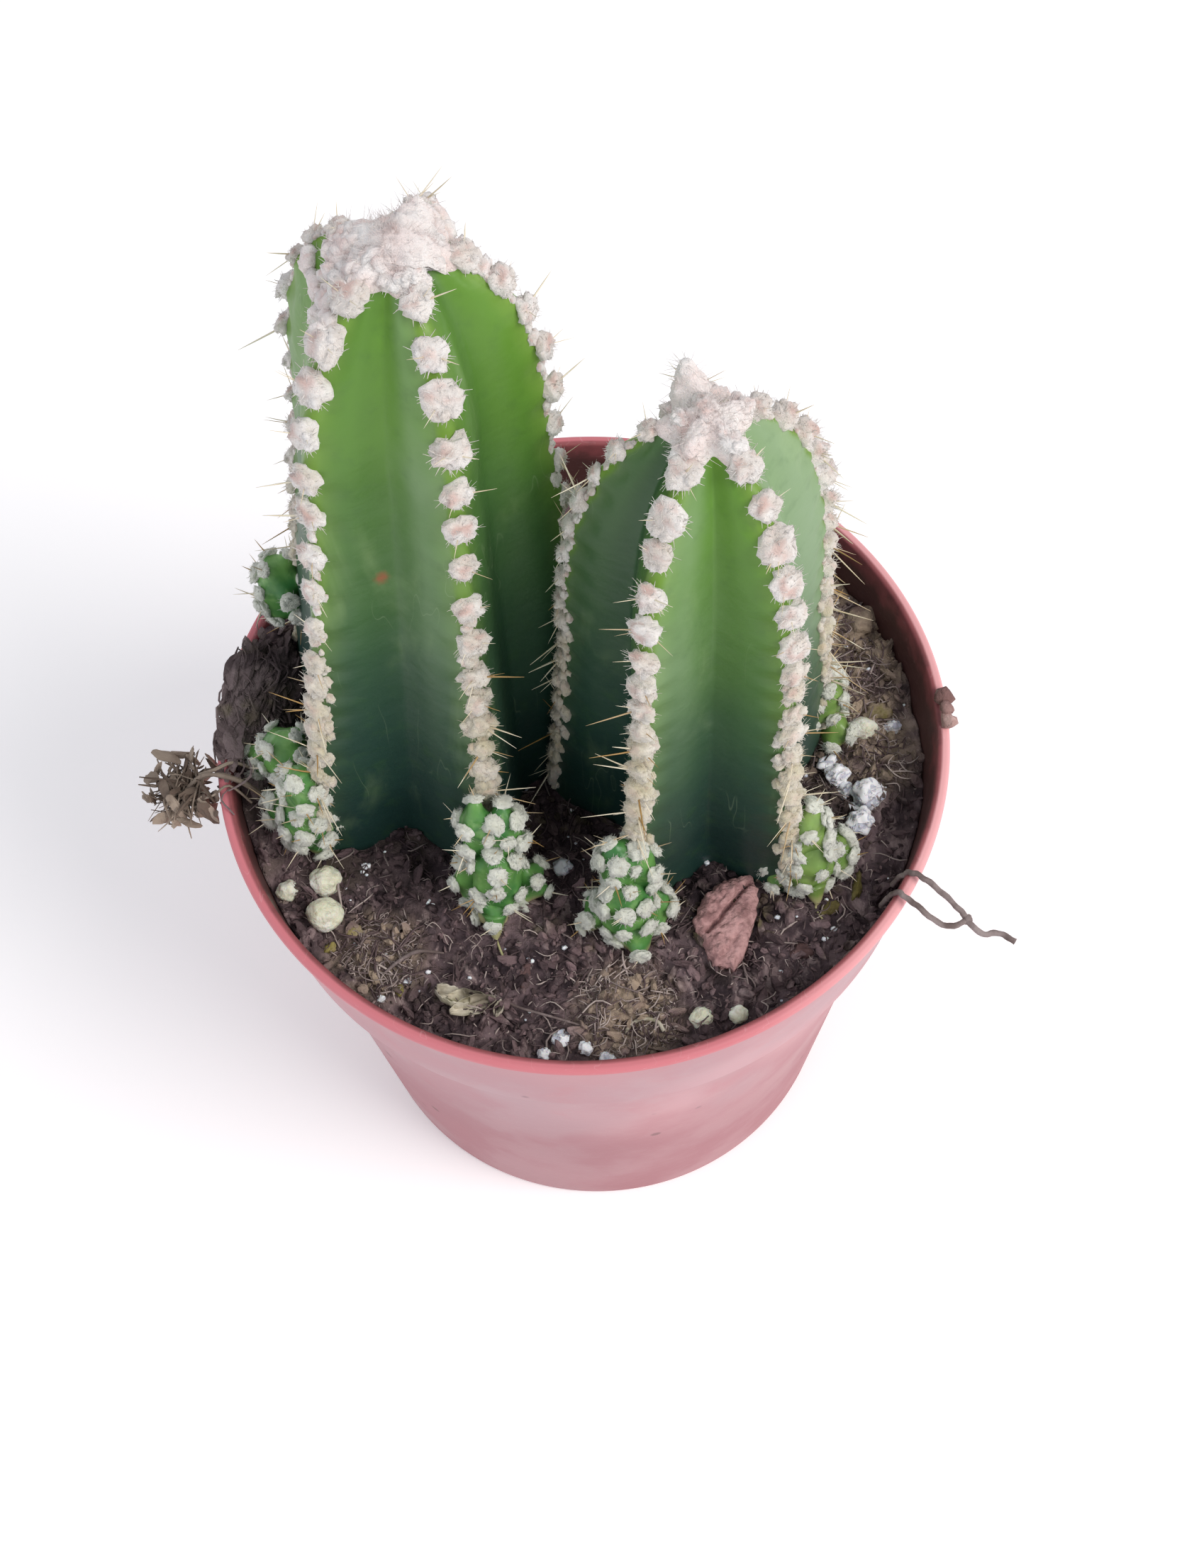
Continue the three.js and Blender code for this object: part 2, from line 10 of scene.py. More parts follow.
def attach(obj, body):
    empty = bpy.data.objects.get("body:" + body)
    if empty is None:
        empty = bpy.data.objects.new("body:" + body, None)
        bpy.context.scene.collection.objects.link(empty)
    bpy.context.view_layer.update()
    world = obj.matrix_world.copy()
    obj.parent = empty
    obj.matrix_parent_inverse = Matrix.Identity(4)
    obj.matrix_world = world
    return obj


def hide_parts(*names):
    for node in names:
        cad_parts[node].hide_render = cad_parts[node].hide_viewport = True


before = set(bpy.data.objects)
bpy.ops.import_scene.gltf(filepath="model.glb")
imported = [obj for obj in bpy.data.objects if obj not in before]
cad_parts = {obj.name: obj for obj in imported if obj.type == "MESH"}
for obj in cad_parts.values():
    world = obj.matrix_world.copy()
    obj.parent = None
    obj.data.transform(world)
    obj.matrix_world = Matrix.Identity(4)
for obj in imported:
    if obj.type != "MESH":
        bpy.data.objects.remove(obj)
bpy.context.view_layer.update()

mm = 0.001
fullTurn = 2 * pi
goldenAngle = pi * (3 - sqrt(5))
seedGap = 31.7  # how far apart in the noise two seeds lie


# small helpers

def mix(a, b, t):
    return a + (b - a) * t


def smoothStep(value, low, high):
    t = min(1, max(0, (value - low) / (high - low)))
    return t * t * (3 - 2 * t)


def wave(x, y, z, seed=0):  # soft noise from -1 to 1
    return noise.noise(Vector((x, y, z + seedGap * seed)))


def waves(place, *layers):  # a sum of soft noises, each given by how much, how fine and its seed
    return sum(much * wave(*(place * fine), seed) for much, fine, seed in layers)


def ray(angle, *height):  # a direction in the plane
    return Vector((cos(angle), sin(angle), *height))


def smoothLine(points, steps):  # a smooth curve through the points
    places = [Vector(p) for p in points]
    line = []
    for i in range(len(places) - 1):
        before, start, end = places[max(i - 1, 0)], places[i], places[i + 1]
        after = places[min(i + 2, len(places) - 1)]
        for step in range(steps):
            t = step / steps
            line.append(0.5 * (2 * start + (end - before) * t
                               + (2 * before - 5 * start + 4 * end - after) * t ** 2
                               + (3 * start - before - 3 * end + after) * t ** 3))
    return line + [places[-1]]


moved = Matrix.Translation


def turned(angle, axis="Z"):
    return Matrix.Rotation(angle, 4, axis)


def sized(x, y, z):
    return Matrix.Diagonal((x, y, z, 1))


def facing(way):  # turns +Z to a direction
    return way.to_track_quat("Z", "Y").to_matrix().to_4x4()


def axes(across, up, out, place, size):  # a matrix from three directions
    return moved(place) @ Matrix((across, up, out)).transposed().to_4x4() @ sized(*size)


def randomTurn(dice):
    turn = Quaternion([dice.gauss(0, 1) for _ in range(4)])
    return turn.normalized().to_matrix().to_4x4()


def scatter(dice, reach=1):  # a random step
    return Vector([dice.uniform(-reach, reach) for _ in range(3)])


def mostlySmall(dice, least, more, power):
    return least + more * dice.random() ** power


def faceOut(bm):
    bmesh.ops.recalc_face_normals(bm, faces=bm.faces)


def sweep(bm, line, widths, sides, flat=1.0):  # a closed tube along a line, ring by ring
    rings = []
    for i, (place, width) in enumerate(zip(line, widths)):
        ahead = line[min(i + 1, len(line) - 1)] - line[max(i - 1, 0)]
        shape = moved(place) @ facing(ahead) @ sized(width, width * flat, 1)
        isEnd = i in (0, len(line) - 1)
        ring = bmesh.ops.create_circle(bm, cap_ends=isEnd, segments=sides, radius=1, matrix=shape)["verts"]
        rings.append(list({edge for vert in ring for edge in vert.link_edges}))
    for low, high in zip(rings, rings[1:]):
        bmesh.ops.bridge_loops(bm, edges=low + high)
    faceOut(bm)


def asMesh(bm, name):
    mesh = bpy.data.meshes.new(name)
    bm.to_mesh(mesh)
    bm.free()
    return mesh


def linked(name, data):  # an object in the scene
    item = bpy.data.objects.new(name, data)
    bpy.context.scene.collection.objects.link(item)
    return item


def smallShape(name, build, *values):  # a shape that stamp() repeats
    bm = bmesh.new()
    build(bm, *values)
    return asMesh(bm, name)


def stamp(bm, shape, place):  # adds a copy of a small shape, placed by a matrix
    copy = shape.copy()
    copy.transform(place)
    bm.from_mesh(copy)
    bpy.data.meshes.remove(copy)


def finishPiece(bm, name, material, nodes=(), smooth=True):
    bmesh.ops.scale(bm, vec=(mm, mm, mm), verts=bm.verts)
    mesh = asMesh(bm, name)
    if smooth:
        mesh.shade_smooth()
    mesh.materials.append(material)
    piece = linked(name, mesh)
    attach(piece, "root")
    if nodes:
        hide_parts(*nodes)
    return piece


# materials

def tint(code):  # a screen colour such as "c98a8c" in linear light
    parts = [int(code[i:i + 2], 16) / 255 for i in (0, 2, 4)]
    return (*[c / 12.92 if c <= 0.04045 else ((c + 0.055) / 1.055) ** 2.4 for c in parts], 1)


class Painter:  # builds a material's nodes, each from values or other nodes' outputs
    def __init__(self, name, rough=0.5, shine=0.5, **sockets):
        self.material = bpy.data.materials.new(name)
        self.material.use_nodes = True
        self.tree = self.material.node_tree
        self.shader = self.tree.nodes["Principled BSDF"]
        self.place = self.add("ShaderNodeTexCoord").outputs["Object"]
        for socket, value in {"Roughness": rough, "Specular_IOR_Level": shine, **sockets}.items():
            self.put(self.shader.inputs[socket.replace("_", " ")], value)

    def put(self, socket, value):
        if isinstance(value, bpy.types.NodeSocket):
            self.tree.links.new(value, socket)
        else:
            socket.default_value = tint(value) if isinstance(value, str) else value

    def add(self, kind, inputs=(), **settings):
        node = self.tree.nodes.new(kind)
        for key, value in settings.items():
            setattr(node, key, value)
        for key, value in dict(inputs).items():
            self.put(node.inputs[key], value)
        return node

    def noise(self, scale, detail=3, place=None, warp=0.0):
        inputs = {"Vector": place or self.place, "Scale": scale, "Detail": detail, "Roughness": 0.55,
                  "Distortion": warp}
        return self.add("ShaderNodeTexNoise", inputs).outputs["Fac"]

    def stretched(self, size, turn=(0, 0, 0)):  # the object's coordinates, scaled and turned
        inputs = {"Vector": self.place, "Scale": size, "Rotation": turn}
        return self.add("ShaderNodeMapping", inputs).outputs["Vector"]

    def ramp(self, value, low, high, start=0.0, end=1.0):  # a smooth step from start to end
        inputs = {"Value": value, "From Min": low, "From Max": high, "To Min": start, "To Max": end}
        return self.add("ShaderNodeMapRange", inputs, interpolation_type="SMOOTHSTEP").outputs["Result"]

    def cloud(self, scale, detail, low, high, share=1.0, **look):  # noise as a smooth step up to a share
        return self.ramp(self.noise(scale, detail, **look), low, high, 0, share)

    def calc(self, a, b=0.0, operation="MULTIPLY"):
        return self.add("ShaderNodeMath", {0: a, 1: b}, operation=operation).outputs["Value"]

    def hairline(self, value, width, share):  # where a value passes its middle
        off = self.calc(self.calc(value, 0.5, "SUBTRACT"), 0, "ABSOLUTE")
        return self.ramp(off, width, 0, 0, share)

    def nearAny(self, spots):  # how near a place is to some spots: x, y, where it starts, where it is full
        near = 0
        for x, y, far, close in spots:
            inputs = {0: self.place, 1: (x * mm, y * mm, soil["level"] * mm)}
            away = self.add("ShaderNodeVectorMath", inputs, operation="DISTANCE").outputs["Value"]
            near = self.calc(self.ramp(away, far * mm, close * mm), near, "MAXIMUM")
        return near

    def colour(self, factor, a, b):
        inputs = {0: factor, 6: a, 7: b}
        return self.add("ShaderNodeMix", inputs, data_type="RGBA").outputs[2]

    def attribute(self, name):
        return self.add("ShaderNodeAttribute", attribute_name=name).outputs["Fac"]

    def axis(self, letter):
        return self.add("ShaderNodeSeparateXYZ", {"Vector": self.place}).outputs[letter]

    def island(self):
        return self.add("ShaderNodeNewGeometry").outputs["Random Per Island"]

    def relief(self, scale, detail, strength, distance, under=None, **look):  # a bump from noise
        return self.bump(self.noise(scale, detail, **look), strength, distance, under)

    def bump(self, height, strength, distance, under=None):
        inputs = {"Height": height, "Strength": strength, "Distance": distance}
        if under:
            inputs["Normal"] = under
        return self.add("ShaderNodeBump", inputs).outputs["Normal"]

    def tone(self, factor, colour, under=None):  # lays a colour over the rest, or over a first one
        self.body = self.colour(factor, under or self.body, colour)

    def clouds(self, colour, *values, **look):  # lays a colour over the rest, cloud by cloud
        self.tone(self.cloud(*values, **look), colour)

    def finish(self, normal=None, rough=None):
        for socket, value in (("Base Color", self.body), ("Normal", normal), ("Roughness", rough)):
            if value:
                self.put(self.shader.inputs[socket], value)
        return self.material


# camera and light

studio = {
    "place": (0, -136.08, 307.23), "aim": (0.28, -16.0, 88.0), "roll": -3.72, "lens": 53.7,
    "floorSize": 3.0, "floor": "fdfdfd", "floorGlow": 0.17, "sky": "f8f9ff", "skyPower": 0.57,
    "lightAim": (0, 0, 90),
    "key": {"place": (1050, -650, 1300), "size": 1.0, "power": 19.5, "tint": "fffaf6"},
    "fill": {"place": (-1150, -550, 950), "size": 1.7, "power": 4.2, "tint": "f2f6ff"},
}


def aimed(place, aim, roll=0.0):
    look = (Vector(aim) - Vector(place)).to_track_quat("-Z", "Y") @ Quaternion((0, 0, 1), radians(roll))
    return moved(Vector(place) * mm) @ look.to_matrix().to_4x4()


def makeCamera():
    view = bpy.data.cameras.new("camera")
    view.sensor_width, view.lens = 36, studio["lens"]
    view.clip_start, view.clip_end = 0.01, 20
    camera = linked("camera", view)
    camera.matrix_world = aimed(studio["place"], studio["aim"], studio["roll"])
    bpy.context.scene.camera = camera


def makeLight(name, values):
    lamp = bpy.data.lights.new(name, "AREA")
    lamp.shape, lamp.size = "DISK", values["size"]
    lamp.energy, lamp.color = values["power"], tint(values["tint"])[:3]
    linked(name, lamp).matrix_world = aimed(values["place"], studio["lightAim"])


def makeStudio():
    world = bpy.data.worlds.new("studio")
    world.use_nodes = True
    sky = world.node_tree.nodes["Background"]
    sky.inputs["Color"].default_value = tint(studio["sky"])
    sky.inputs["Strength"].default_value = studio["skyPower"]
    bpy.context.scene.world = world
    bpy.context.scene.view_settings.view_transform = "Standard"
    for name in ("key", "fill"):
        makeLight(name, studio[name])
    bm = bmesh.new()
    bmesh.ops.create_grid(bm, x_segments=2, y_segments=2, size=studio["floorSize"])
    floor = linked("floor", asMesh(bm, "floor"))
    paint = Painter("paleFloor", 0.9, Emission_Strength=studio["floorGlow"])
    paint.body = studio["floor"]
    floor.data.materials.append(paint.finish())


makeCamera()
makeStudio()
print("camera and light ready")


# the pot

pot = {
    "height": 72, "rimRadius": 42.5, "rimWidth": 1.5, "beadDepth": 1.3,
    "collarDepth": 16.6, "collarFootRadius": 39.9, "shoulderRadius": 38,
    "footRadius": 31.6, "footBevel": 1, "wall": 1.1, "floor": 1.6,
    "drainHoles": 8, "drainCircle": 23, "drainRadius": 2.8,
    "steps": 288, "sharp": 32,
    "dusty": "c9969b", "low": "a56c73", "clean": "c98085", "rim": "d3757d", "rimLit": "f8b9ba",
    "beadShadow": "a8505c", "mauve": "b88f96", "pale": "dba2a7", "speck": "6d4a4a", "inner": "9a5559",
    "soilDustAndShade": "4b3432", "scratch": "f4dcdc",
}
collarFoot = pot["height"] - pot["collarDepth"]


def innerRadius(z):
    bend = collarFoot + pot["wall"]
    if z > bend:
        t = (z - bend) / (pot["height"] - pot["beadDepth"] - bend)
        return mix(pot["collarFootRadius"] - pot["wall"], pot["rimRadius"] - pot["rimWidth"] - 0.1, t)
    return mix(pot["footRadius"], pot["shoulderRadius"], z / collarFoot) - pot["wall"]


def corner(x, z, radius, start, end):  # a rounded corner of a profile, as (radius, height) points
    angles = [radians(mix(start, end, i / 5)) for i in range(6)]
    return [(x + radius * cos(a), z + radius * sin(a)) for a in angles]


def potProfile():
    top, rim, bevel = pot["height"], pot["rimRadius"], pot["footBevel"]
    lip, bend, inner = top - pot["beadDepth"], collarFoot + pot["wall"], rim - pot["rimWidth"]
    return [
        (0, 0), *corner(pot["footRadius"] - bevel, bevel, bevel, -90, 0),
        (pot["shoulderRadius"], collarFoot - 0.15), (pot["shoulderRadius"] + 0.15, collarFoot),
        *corner(pot["collarFootRadius"] - 0.4, collarFoot + 0.4, 0.4, -90, 0),
        (rim - 0.6, lip), *corner(rim - 0.3, lip + 0.45, 0.3, -80, 0),
        *corner(rim - 0.55, top - 0.55, 0.55, 0, 90), *corner(inner + 0.45, top - 0.45, 0.45, 90, 180),
        (inner - 0.1, lip), (innerRadius(bend + 0.01), bend),
        (innerRadius(collarFoot - 0.2), collarFoot - 0.2), (innerRadius(pot["floor"]), pot["floor"]),
        (0, pot["floor"]),
    ]


def spun(bm, profile, steps):  # turns a profile of (radius, height) round the upright axis
    verts = [bm.verts.new((r, 0, z)) for r, z in profile]
    edges = [bm.edges.new(pair) for pair in zip(verts, verts[1:])]
    bmesh.ops.spin(bm, geom=verts + edges, cent=(0, 0, 0), axis=(0, 0, 1), dvec=(0, 0, 0),
                   angle=fullTurn, steps=steps, use_merge=True)
    bmesh.ops.remove_doubles(bm, verts=bm.verts, dist=1e-4)
    faceOut(bm)


def plasticMaterial():
    paint = Painter("potPlastic", shine=0.35)
    across, height = paint.axis("X"), paint.axis("Z")
    # painted light and shade: the wall turns paler towards +X, the lit side, and more mauve towards -X, the
    # shaded side, with noise mixed in
    side = paint.ramp(paint.calc(across, paint.noise(22, 2), "ADD"), 0.38, 0.64)
    cloud = paint.cloud(60, 4, 0.35, 0.7)
    paint.tone(side, pot["pale"], pot["mauve"])
    paint.tone(paint.calc(cloud, 0.5), pot["dusty"])
    paint.clouds(pot["clean"], 130, 5, 0.5, 0.75, 0.3, warp=0.5)
    paint.tone(paint.ramp(height, 0.052, 0.02, 0, 0.8), pot["low"])
    rim = paint.ramp(paint.calc(height, paint.calc(paint.noise(160), 0.0004), "ADD"), 0.0699, 0.0706, 0, 0.85)
    paint.tone(rim, paint.colour(paint.ramp(across, 0.012, 0.04, 0, 0.85), pot["rim"], pot["rimLit"]))
    # painted shadow: a darker band just under the rim's bead
    beadShadow = paint.calc(paint.ramp(height, 0.0698, 0.0702, 0, 0.6), paint.ramp(height, 0.0707, 0.0703))
    paint.tone(beadShadow, pot["beadShadow"])
    # painted shade: the inside wall above the soil gets a darker colour
    squares = paint.calc(paint.calc(across, across), paint.calc(paint.axis("Y"), paint.axis("Y")), "ADD")
    away = paint.calc(paint.calc(squares, 0.5, "POWER"), paint.calc(height, 0.14), "SUBTRACT")
    inner = paint.calc(paint.ramp(away, 0.0317, 0.0313), paint.ramp(height, 0.0568, 0.0573))
    paint.tone(inner, pot["inner"])
    # soil dust and painted shade on the inside wall, up to a ragged line below the rim
    dustAndShadeHeight = paint.calc(height, paint.calc(paint.noise(260, 5), 0.008), "ADD")
    paint.tone(paint.calc(paint.ramp(dustAndShadeHeight, 0.0765, 0.0725, 0, 0.9), inner), pot["soilDustAndShade"])
    dot = paint.add("ShaderNodeTexVoronoi", {"Vector": paint.place, "Scale": 210}).outputs["Distance"]
    chosen = paint.cloud(55, 1, 0.58, 0.6, place=paint.stretched((1, 1, 1), (0.4, 0.2, 0)))
    paint.tone(paint.calc(paint.ramp(dot, 0.18, 0.09, 0, 0.62), chosen), pot["speck"])
    scratch = paint.noise(90, 2, paint.stretched((3, 1, 16), (0.3, 0.5, 0.2)))
    paint.tone(paint.hairline(scratch, 0.005, 0.12), pot["scratch"])
    dents = paint.relief(70, 2, 0.15, 0.0006, paint.relief(900, 3, 0.12, 0.0002))
    return paint.finish(dents, paint.ramp(cloud, 0, 1, 0.42, 0.62))


def makePot():
    bm, cutter = bmesh.new(), bmesh.new()
    spun(bm, potProfile(), pot["steps"])
    for i in range(pot["drainHoles"]):
        angle = fullTurn * (i + 0.5) / pot["drainHoles"]
        place = ray(angle, 0) * pot["drainCircle"]
        bmesh.ops.create_cone(cutter, cap_ends=True, segments=28, radius1=pot["drainRadius"],
                              radius2=pot["drainRadius"], depth=8, matrix=moved(place))
    bmesh.ops.scale(cutter, vec=(mm, mm, mm), verts=cutter.verts)
    holes = linked("drainHoles", asMesh(cutter, "drainHoles"))
    piece = finishPiece(bm, "plasticPot", plasticMaterial(), ["pot"])
    cut = piece.modifiers.new("drain", "BOOLEAN")
    cut.operation, cut.solver, cut.object = "DIFFERENCE", "EXACT", holes
    bpy.context.view_layer.update()
    drilled = bpy.data.meshes.new_from_object(piece.evaluated_get(bpy.context.evaluated_depsgraph_get()))
    piece.modifiers.clear()
    piece.data = drilled
    bpy.data.objects.remove(holes)
    drilled.shade_smooth()
    drilled.set_sharp_from_angle(angle=radians(pot["sharp"]))


makePot()
print("pot made")


# the stems: how a rib runs and where its areoles sit

tall = {
    "name": "tall", "node": "tall_cactus", "seed": 3,
    "foot": (-17.8, 5.1), "lean": (4, 0.6), "height": 85.1,
    "lowReach": 20.5, "highReach": 14.1, "dome": 24.9, "domePower": 2.65, "valley": 0.61,
    "ribs": (-71, -6, 73, 142, 228),
    "first": 6.6, "crown": 4.4, "upper": 5.7, "lower": 4.1, "crownEnd": 14, "upperEnd": 50,
    "tuftHigh": 2.1, "tuftMid": 1.75, "tuftLow": 1.35,
    "ribWool": [(1, 0.66), (0.76, 0.8), (0.8, 0.8), (0.76, 0.75), (0.96, 0.66)],  # size, how far out
    "spiny": {3: (1, 0.35), 4: (1, 0.35)},  # more spines on a rib, and up to what share of the height
    "slimTop": {2: 0.5, 3: 0.75},  # smaller tufts near the top of a rib
    "crownReach": 6.4, "back": 0.4,  # how far the crown's wool reaches, and the turn where it is thin
    "spire": [(-12.9, 4.2, 147.6), (-12.6, 6.2, 148.8), (-12.1, 8.0, 149.5), (-11.6, 9.4, 150.1),
              (-11.4, 10.2, 150.7)],
    "spireWidths": (3.8, 3.3, 2.1, 1.1, 0.3),
    "beside": [(0.61, 0.79, 54), (0.2, 0.41, 30)],  # turns between which clumps cover the skin, and how many
    "pups": [  # each a cluster of lobes: x, y, foot above the soil, radius, height
        [(-10.8, -17.4, -1.5, 3.2, 12.5), (-7.3, -16.9, -1.2, 2.2, 7), (-13.7, -16.4, -1.2, 2.1, 9),
         (-11.3, -19.8, -1.8, 2.0, 5.5), (-9.6, -15.0, 5, 2.5, 12), (-12.2, -15.0, 6, 2.2, 12)],
        [(-31.9, -8.2, -1.5, 3.2, 12), (-35.0, -5.8, -1.2, 2.2, 8), (-31.6, -8.4, 6, 2.3, 11)],
        [(-34.0, -1.8, 3, 2.9, 11), (-37.4, 0.4, 1.5, 2.0, 6)],
        [(-33.2, 15.4, 12, 3.0, 11)],
    ],
    "shoots": [((-11.3, -20.6, 2.0), (-11.4, -22.4, 0.4), (-11.2, -23.4, 0.3), (-10.5, -25.6, 0.3))],
}
short = {
    "name": "short", "node": "short_cactus", "seed": 8,
    "foot": (13, -4.8), "lean": (0.4, 0.5), "height": 69.9,
    "lowReach": 17.2, "highReach": 14.6, "dome": 38.2, "domePower": 2.78, "valley": 0.54,
    "ribs": (-120, -55, 24, 92, 174),
    "first": 6.0, "crown": 4.2, "upper": 4.6, "lower": 4.0, "crownEnd": 14, "upperEnd": 26,
    "tuftHigh": 2.0, "tuftMid": 1.7, "tuftLow": 1.35,
    "ribWool": [(1, 0.66), (1, 0.66), (0.85, 1.1), (0.85, 0.8), (0.76, 0.75)],
    "spiny": {0: (1, 0.5), 2: (3, 0.68), 3: (1, 0.5)},
    "slimTop": {3: 0.5, 4: 0.8},
    "crownReach": 5.9, "back": 0.6,
    "spire": [(12.3, -1.6, 132.4), (12.2, -0.6, 133.6), (12.0, 0.4, 134.7), (11.9, 0.9, 135.6),
              (11.8, 1.2, 136.5)],
    "spireWidths": (2.5, 2.0, 1.35, 1.0, 0.45),
    "beside": [(0.42, 0.58, 12)],
    "pups": [
        [(3.6, -21.9, -1.5, 3.2, 11.5), (0.2, -21.4, -1.2, 2.0, 6), (6.6, -21.2, -1.2, 2.2, 7),
         (4.6, -24.4, -1.5, 2.1, 5.5), (3.2, -19.6, 4, 2.5, 11), (5.2, -19.6, 5, 2.1, 9)],
        [(24.6, -17.2, -1.5, 3.0, 10), (27.8, -15.8, -1.2, 2.1, 7), (21.5, -17.4, -1.2, 1.8, 5.5),
         (24.2, -16.6, 4, 2.3, 11)],
        [(27.6, 3.0, -1.2, 3.1, 13), (29.8, 0.6, -1.2, 2.0, 6)],
    ],
    "shoots": [((25.2, -19.6, 1.4), (25.4, -21.0, 0.5), (25.3, -21.8, 0.3), (26.3, -23.6, 0.2))],
}
growth = {
    "depth": 15, "depthPower": 2,  # the foot that stands in the soil
    "crestRound": 1.3, "crestShare": 0.25, "bulge": 0.035,
    "valleyStart": 0.62, "valleyFill": 0.05,  # where a valley's floor starts to round off, and by what share
    "notch": 0.55, "wobble": 1.1, "sway": 0.018,
    "perRib": 48, "rings": 190,
}
soil = {
    "level": 65, "relief": 0.55, "grain": 0.5, "fineGrain": 0.5, "rings": 90, "steps": 330,
    "heapHeight": 7.5, "heapAzimuth": 163, "heapSpread": 24, "heapStart": 30, "heapEnd": 40.5,
}


def soilHeight(x, y):
    swell = (sin(0.43 * x + 1.3) * cos(0.38 * y - 0.6)
             + 0.6 * sin(0.91 * x - 0.74 * y + 2.1) + 0.4 * cos(1.37 * x + 1.13 * y))
    off = (degrees(atan2(y, x)) - soil["heapAzimuth"] + 180) % 360 - 180
    climb = smoothStep(hypot(x, y), soil["heapStart"], soil["heapEnd"])
    heap = soil["heapHeight"] * climb * exp(-(off / soil["heapSpread"]) ** 2)
    return soil["level"] + soil["relief"] * swell + heap


def axisAt(stem, rise):
    t = rise / stem["height"]
    return Vector((stem["foot"][0] + stem["lean"][0] * t, stem["foot"][1] + stem["lean"][1] * t, 0))


def reachAt(stem, rise):  # how far the ribs stand out
    if rise < 0:
        depth = min(1, -rise / growth["depth"])
        return stem["lowReach"] * sqrt(1 - depth ** growth["depthPower"])
    trunk = stem["height"] - stem["dome"]
    u = min(1, max(0, (rise - trunk) / stem["dome"]))
    straight = mix(stem["lowReach"], stem["highReach"], min(1, rise / trunk))
    return straight * sqrt(1 - u ** stem["domePower"])


def prepareStem(stem):  # the crest's line from the apex down, with the length walked along it
    samples, footSamples = 500, 60
    rises = [stem["height"] * sqrt(1 - (i / samples) ** 2) for i in range(samples + 1)]
    rises += [-growth["depth"] * 0.999 * i / footSamples for i in range(1, footSamples + 1)]
    stem["line"] = [(rise, reachAt(stem, rise)) for rise in rises]
    stem["walked"] = [0.0]
    for (riseA, reachA), (riseB, reachB) in zip(stem["line"], stem["line"][1:]):
        stem["walked"].append(stem["walked"][-1] + hypot(riseB - riseA, reachB - reachA))
    stem["toSoil"] = stem["walked"][samples]
    dice = random.Random(stem["seed"])
    stem["spots"] = []
    for _ in stem["ribs"]:
        spots, here = [], stem["first"]
        while here < stem["toSoil"] - 1:
            spots.append(here + dice.uniform(-0.25, 0.25))
            here += (stem["crown"] if here < stem["crownEnd"] else
                     stem["upper"] if here < stem["upperEnd"] else stem["lower"])
        stem["spots"].append(spots)


def alongCrest(stem, walked):
    i = min(bisect_right(stem["walked"], walked), len(stem["walked"]) - 1)
    low, high = stem["walked"][i - 1], stem["walked"][i]
    t = min(1, max(0, (walked - low) / (high - low)))
    (riseA, reachA), (riseB, reachB) = stem["line"][i - 1], stem["line"][i]
    return mix(riseA, riseB, t), mix(reachA, reachB, t)


def ribAzimuth(stem, rib, rise, hold=1.0):  # a rib meanders a little
    sway = growth["wobble"] * wave(rise / 17, rib * 3.1, 0, stem["seed"]) * hold
    return radians(stem["ribs"][rib] + sway)


def notchAt(stem, rib, walked):  # the crest dips between its areoles
    spots = stem["spots"][rib]
    i = bisect_right(spots, walked)
    if i == 0 or i == len(spots):
        return 0.0
    t = (walked - spots[i - 1]) / (spots[i] - spots[i - 1])
    shallow = mix(0.5, 1, smoothStep(stem["toSoil"] - walked, 0, 45))
    return growth["notch"] * sin(pi * t) ** 1.5 * shallow


def skinPoint(stem, turn, walked):  # a point of a stem's skin, and how near it is to a crest
    rise, reach = alongCrest(stem, walked)
    ribs = stem["ribs"]
    sector = int(turn * len(ribs)) % len(ribs)
    share = turn * len(ribs) - int(turn * len(ribs))
    following = (sector + 1) % len(ribs)
    spread = radians((ribs[following] - ribs[sector]) % 360) / 2
    rib, side = (sector, 1) if share < 0.5 else (following, -1)
    t = 2 * share if side == 1 else 2 * (1 - share)  # 0 on the crest, 1 in the valley
    reach *= 1 + growth["sway"] * wave(rise / 14, rib * 5.3, 4, stem["seed"]) * (1 - t)
    bend = min(growth["crestRound"], 0.14 * reach)
    valley = ray(spread) * stem["valley"] * reach
    centre = Vector((reach - bend, 0))
    away = valley - centre
    tilt = atan2(away.y, away.x) - acos(min(1, bend / max(away.length, 1e-6)))
    if t < growth["crestShare"]:
        angle = tilt * t / growth["crestShare"]
        spot = centre + bend * ray(angle)
        dip = 1.0
    else:
        q = (t - growth["crestShare"]) / (1 - growth["crestShare"])
        normal = ray(tilt)
        spot = (centre + bend * normal).lerp(valley, q)
        spot += normal * growth["bulge"] * reach * sin(pi * q)
        floor = max(0, (q - growth["valleyStart"]) / (1 - growth["valleyStart"]))
        spot += valley.normalized() * growth["valleyFill"] * reach * floor ** 2
        dip = 1 - smoothStep(q, 0, 0.45)
    spot.x -= notchAt(stem, rib, walked) * dip
    azimuth = ribAzimuth(stem, rib, rise, 1 - t)
    c, s = cos(azimuth), sin(azimuth)
    place = axisAt(stem, rise) + Vector((c * spot.x - s * side * spot.y, s * spot.x + c * side * spot.y, 0))
    place.z = soil["level"] + rise
    return place, 1 - t, rise


def crestFrame(stem, rib, walked):  # a place on a crest, with the ways across, up and out of it
    rise, _ = alongCrest(stem, walked)
    azimuth = ribAzimuth(stem, rib, rise)

    def on(length):
        height, out = alongCrest(stem, length)
        spot = axisAt(stem, height) + ray(azimuth, 0) * out
        spot.z = soil["level"] + height
        return spot

    up = (on(max(walked - 0.4, 0)) - on(walked + 0.4)).normalized()
    across = Vector((-sin(azimuth), cos(azimuth), 0))
    across = (across - up * across.dot(up)).normalized()
    return on(walked), across, up, across.cross(up), rise


skin = {
    "young": "5f8d2d", "mid": "3b6039", "old": "1f3c37", "edge": "86a845", "haze": "93aa8a",
    "streak": "a3bd85", "mottle": "3a5f30", "scar": "bcd0a8", "spot": "a8503a", "valleyShade": -0.14,
}


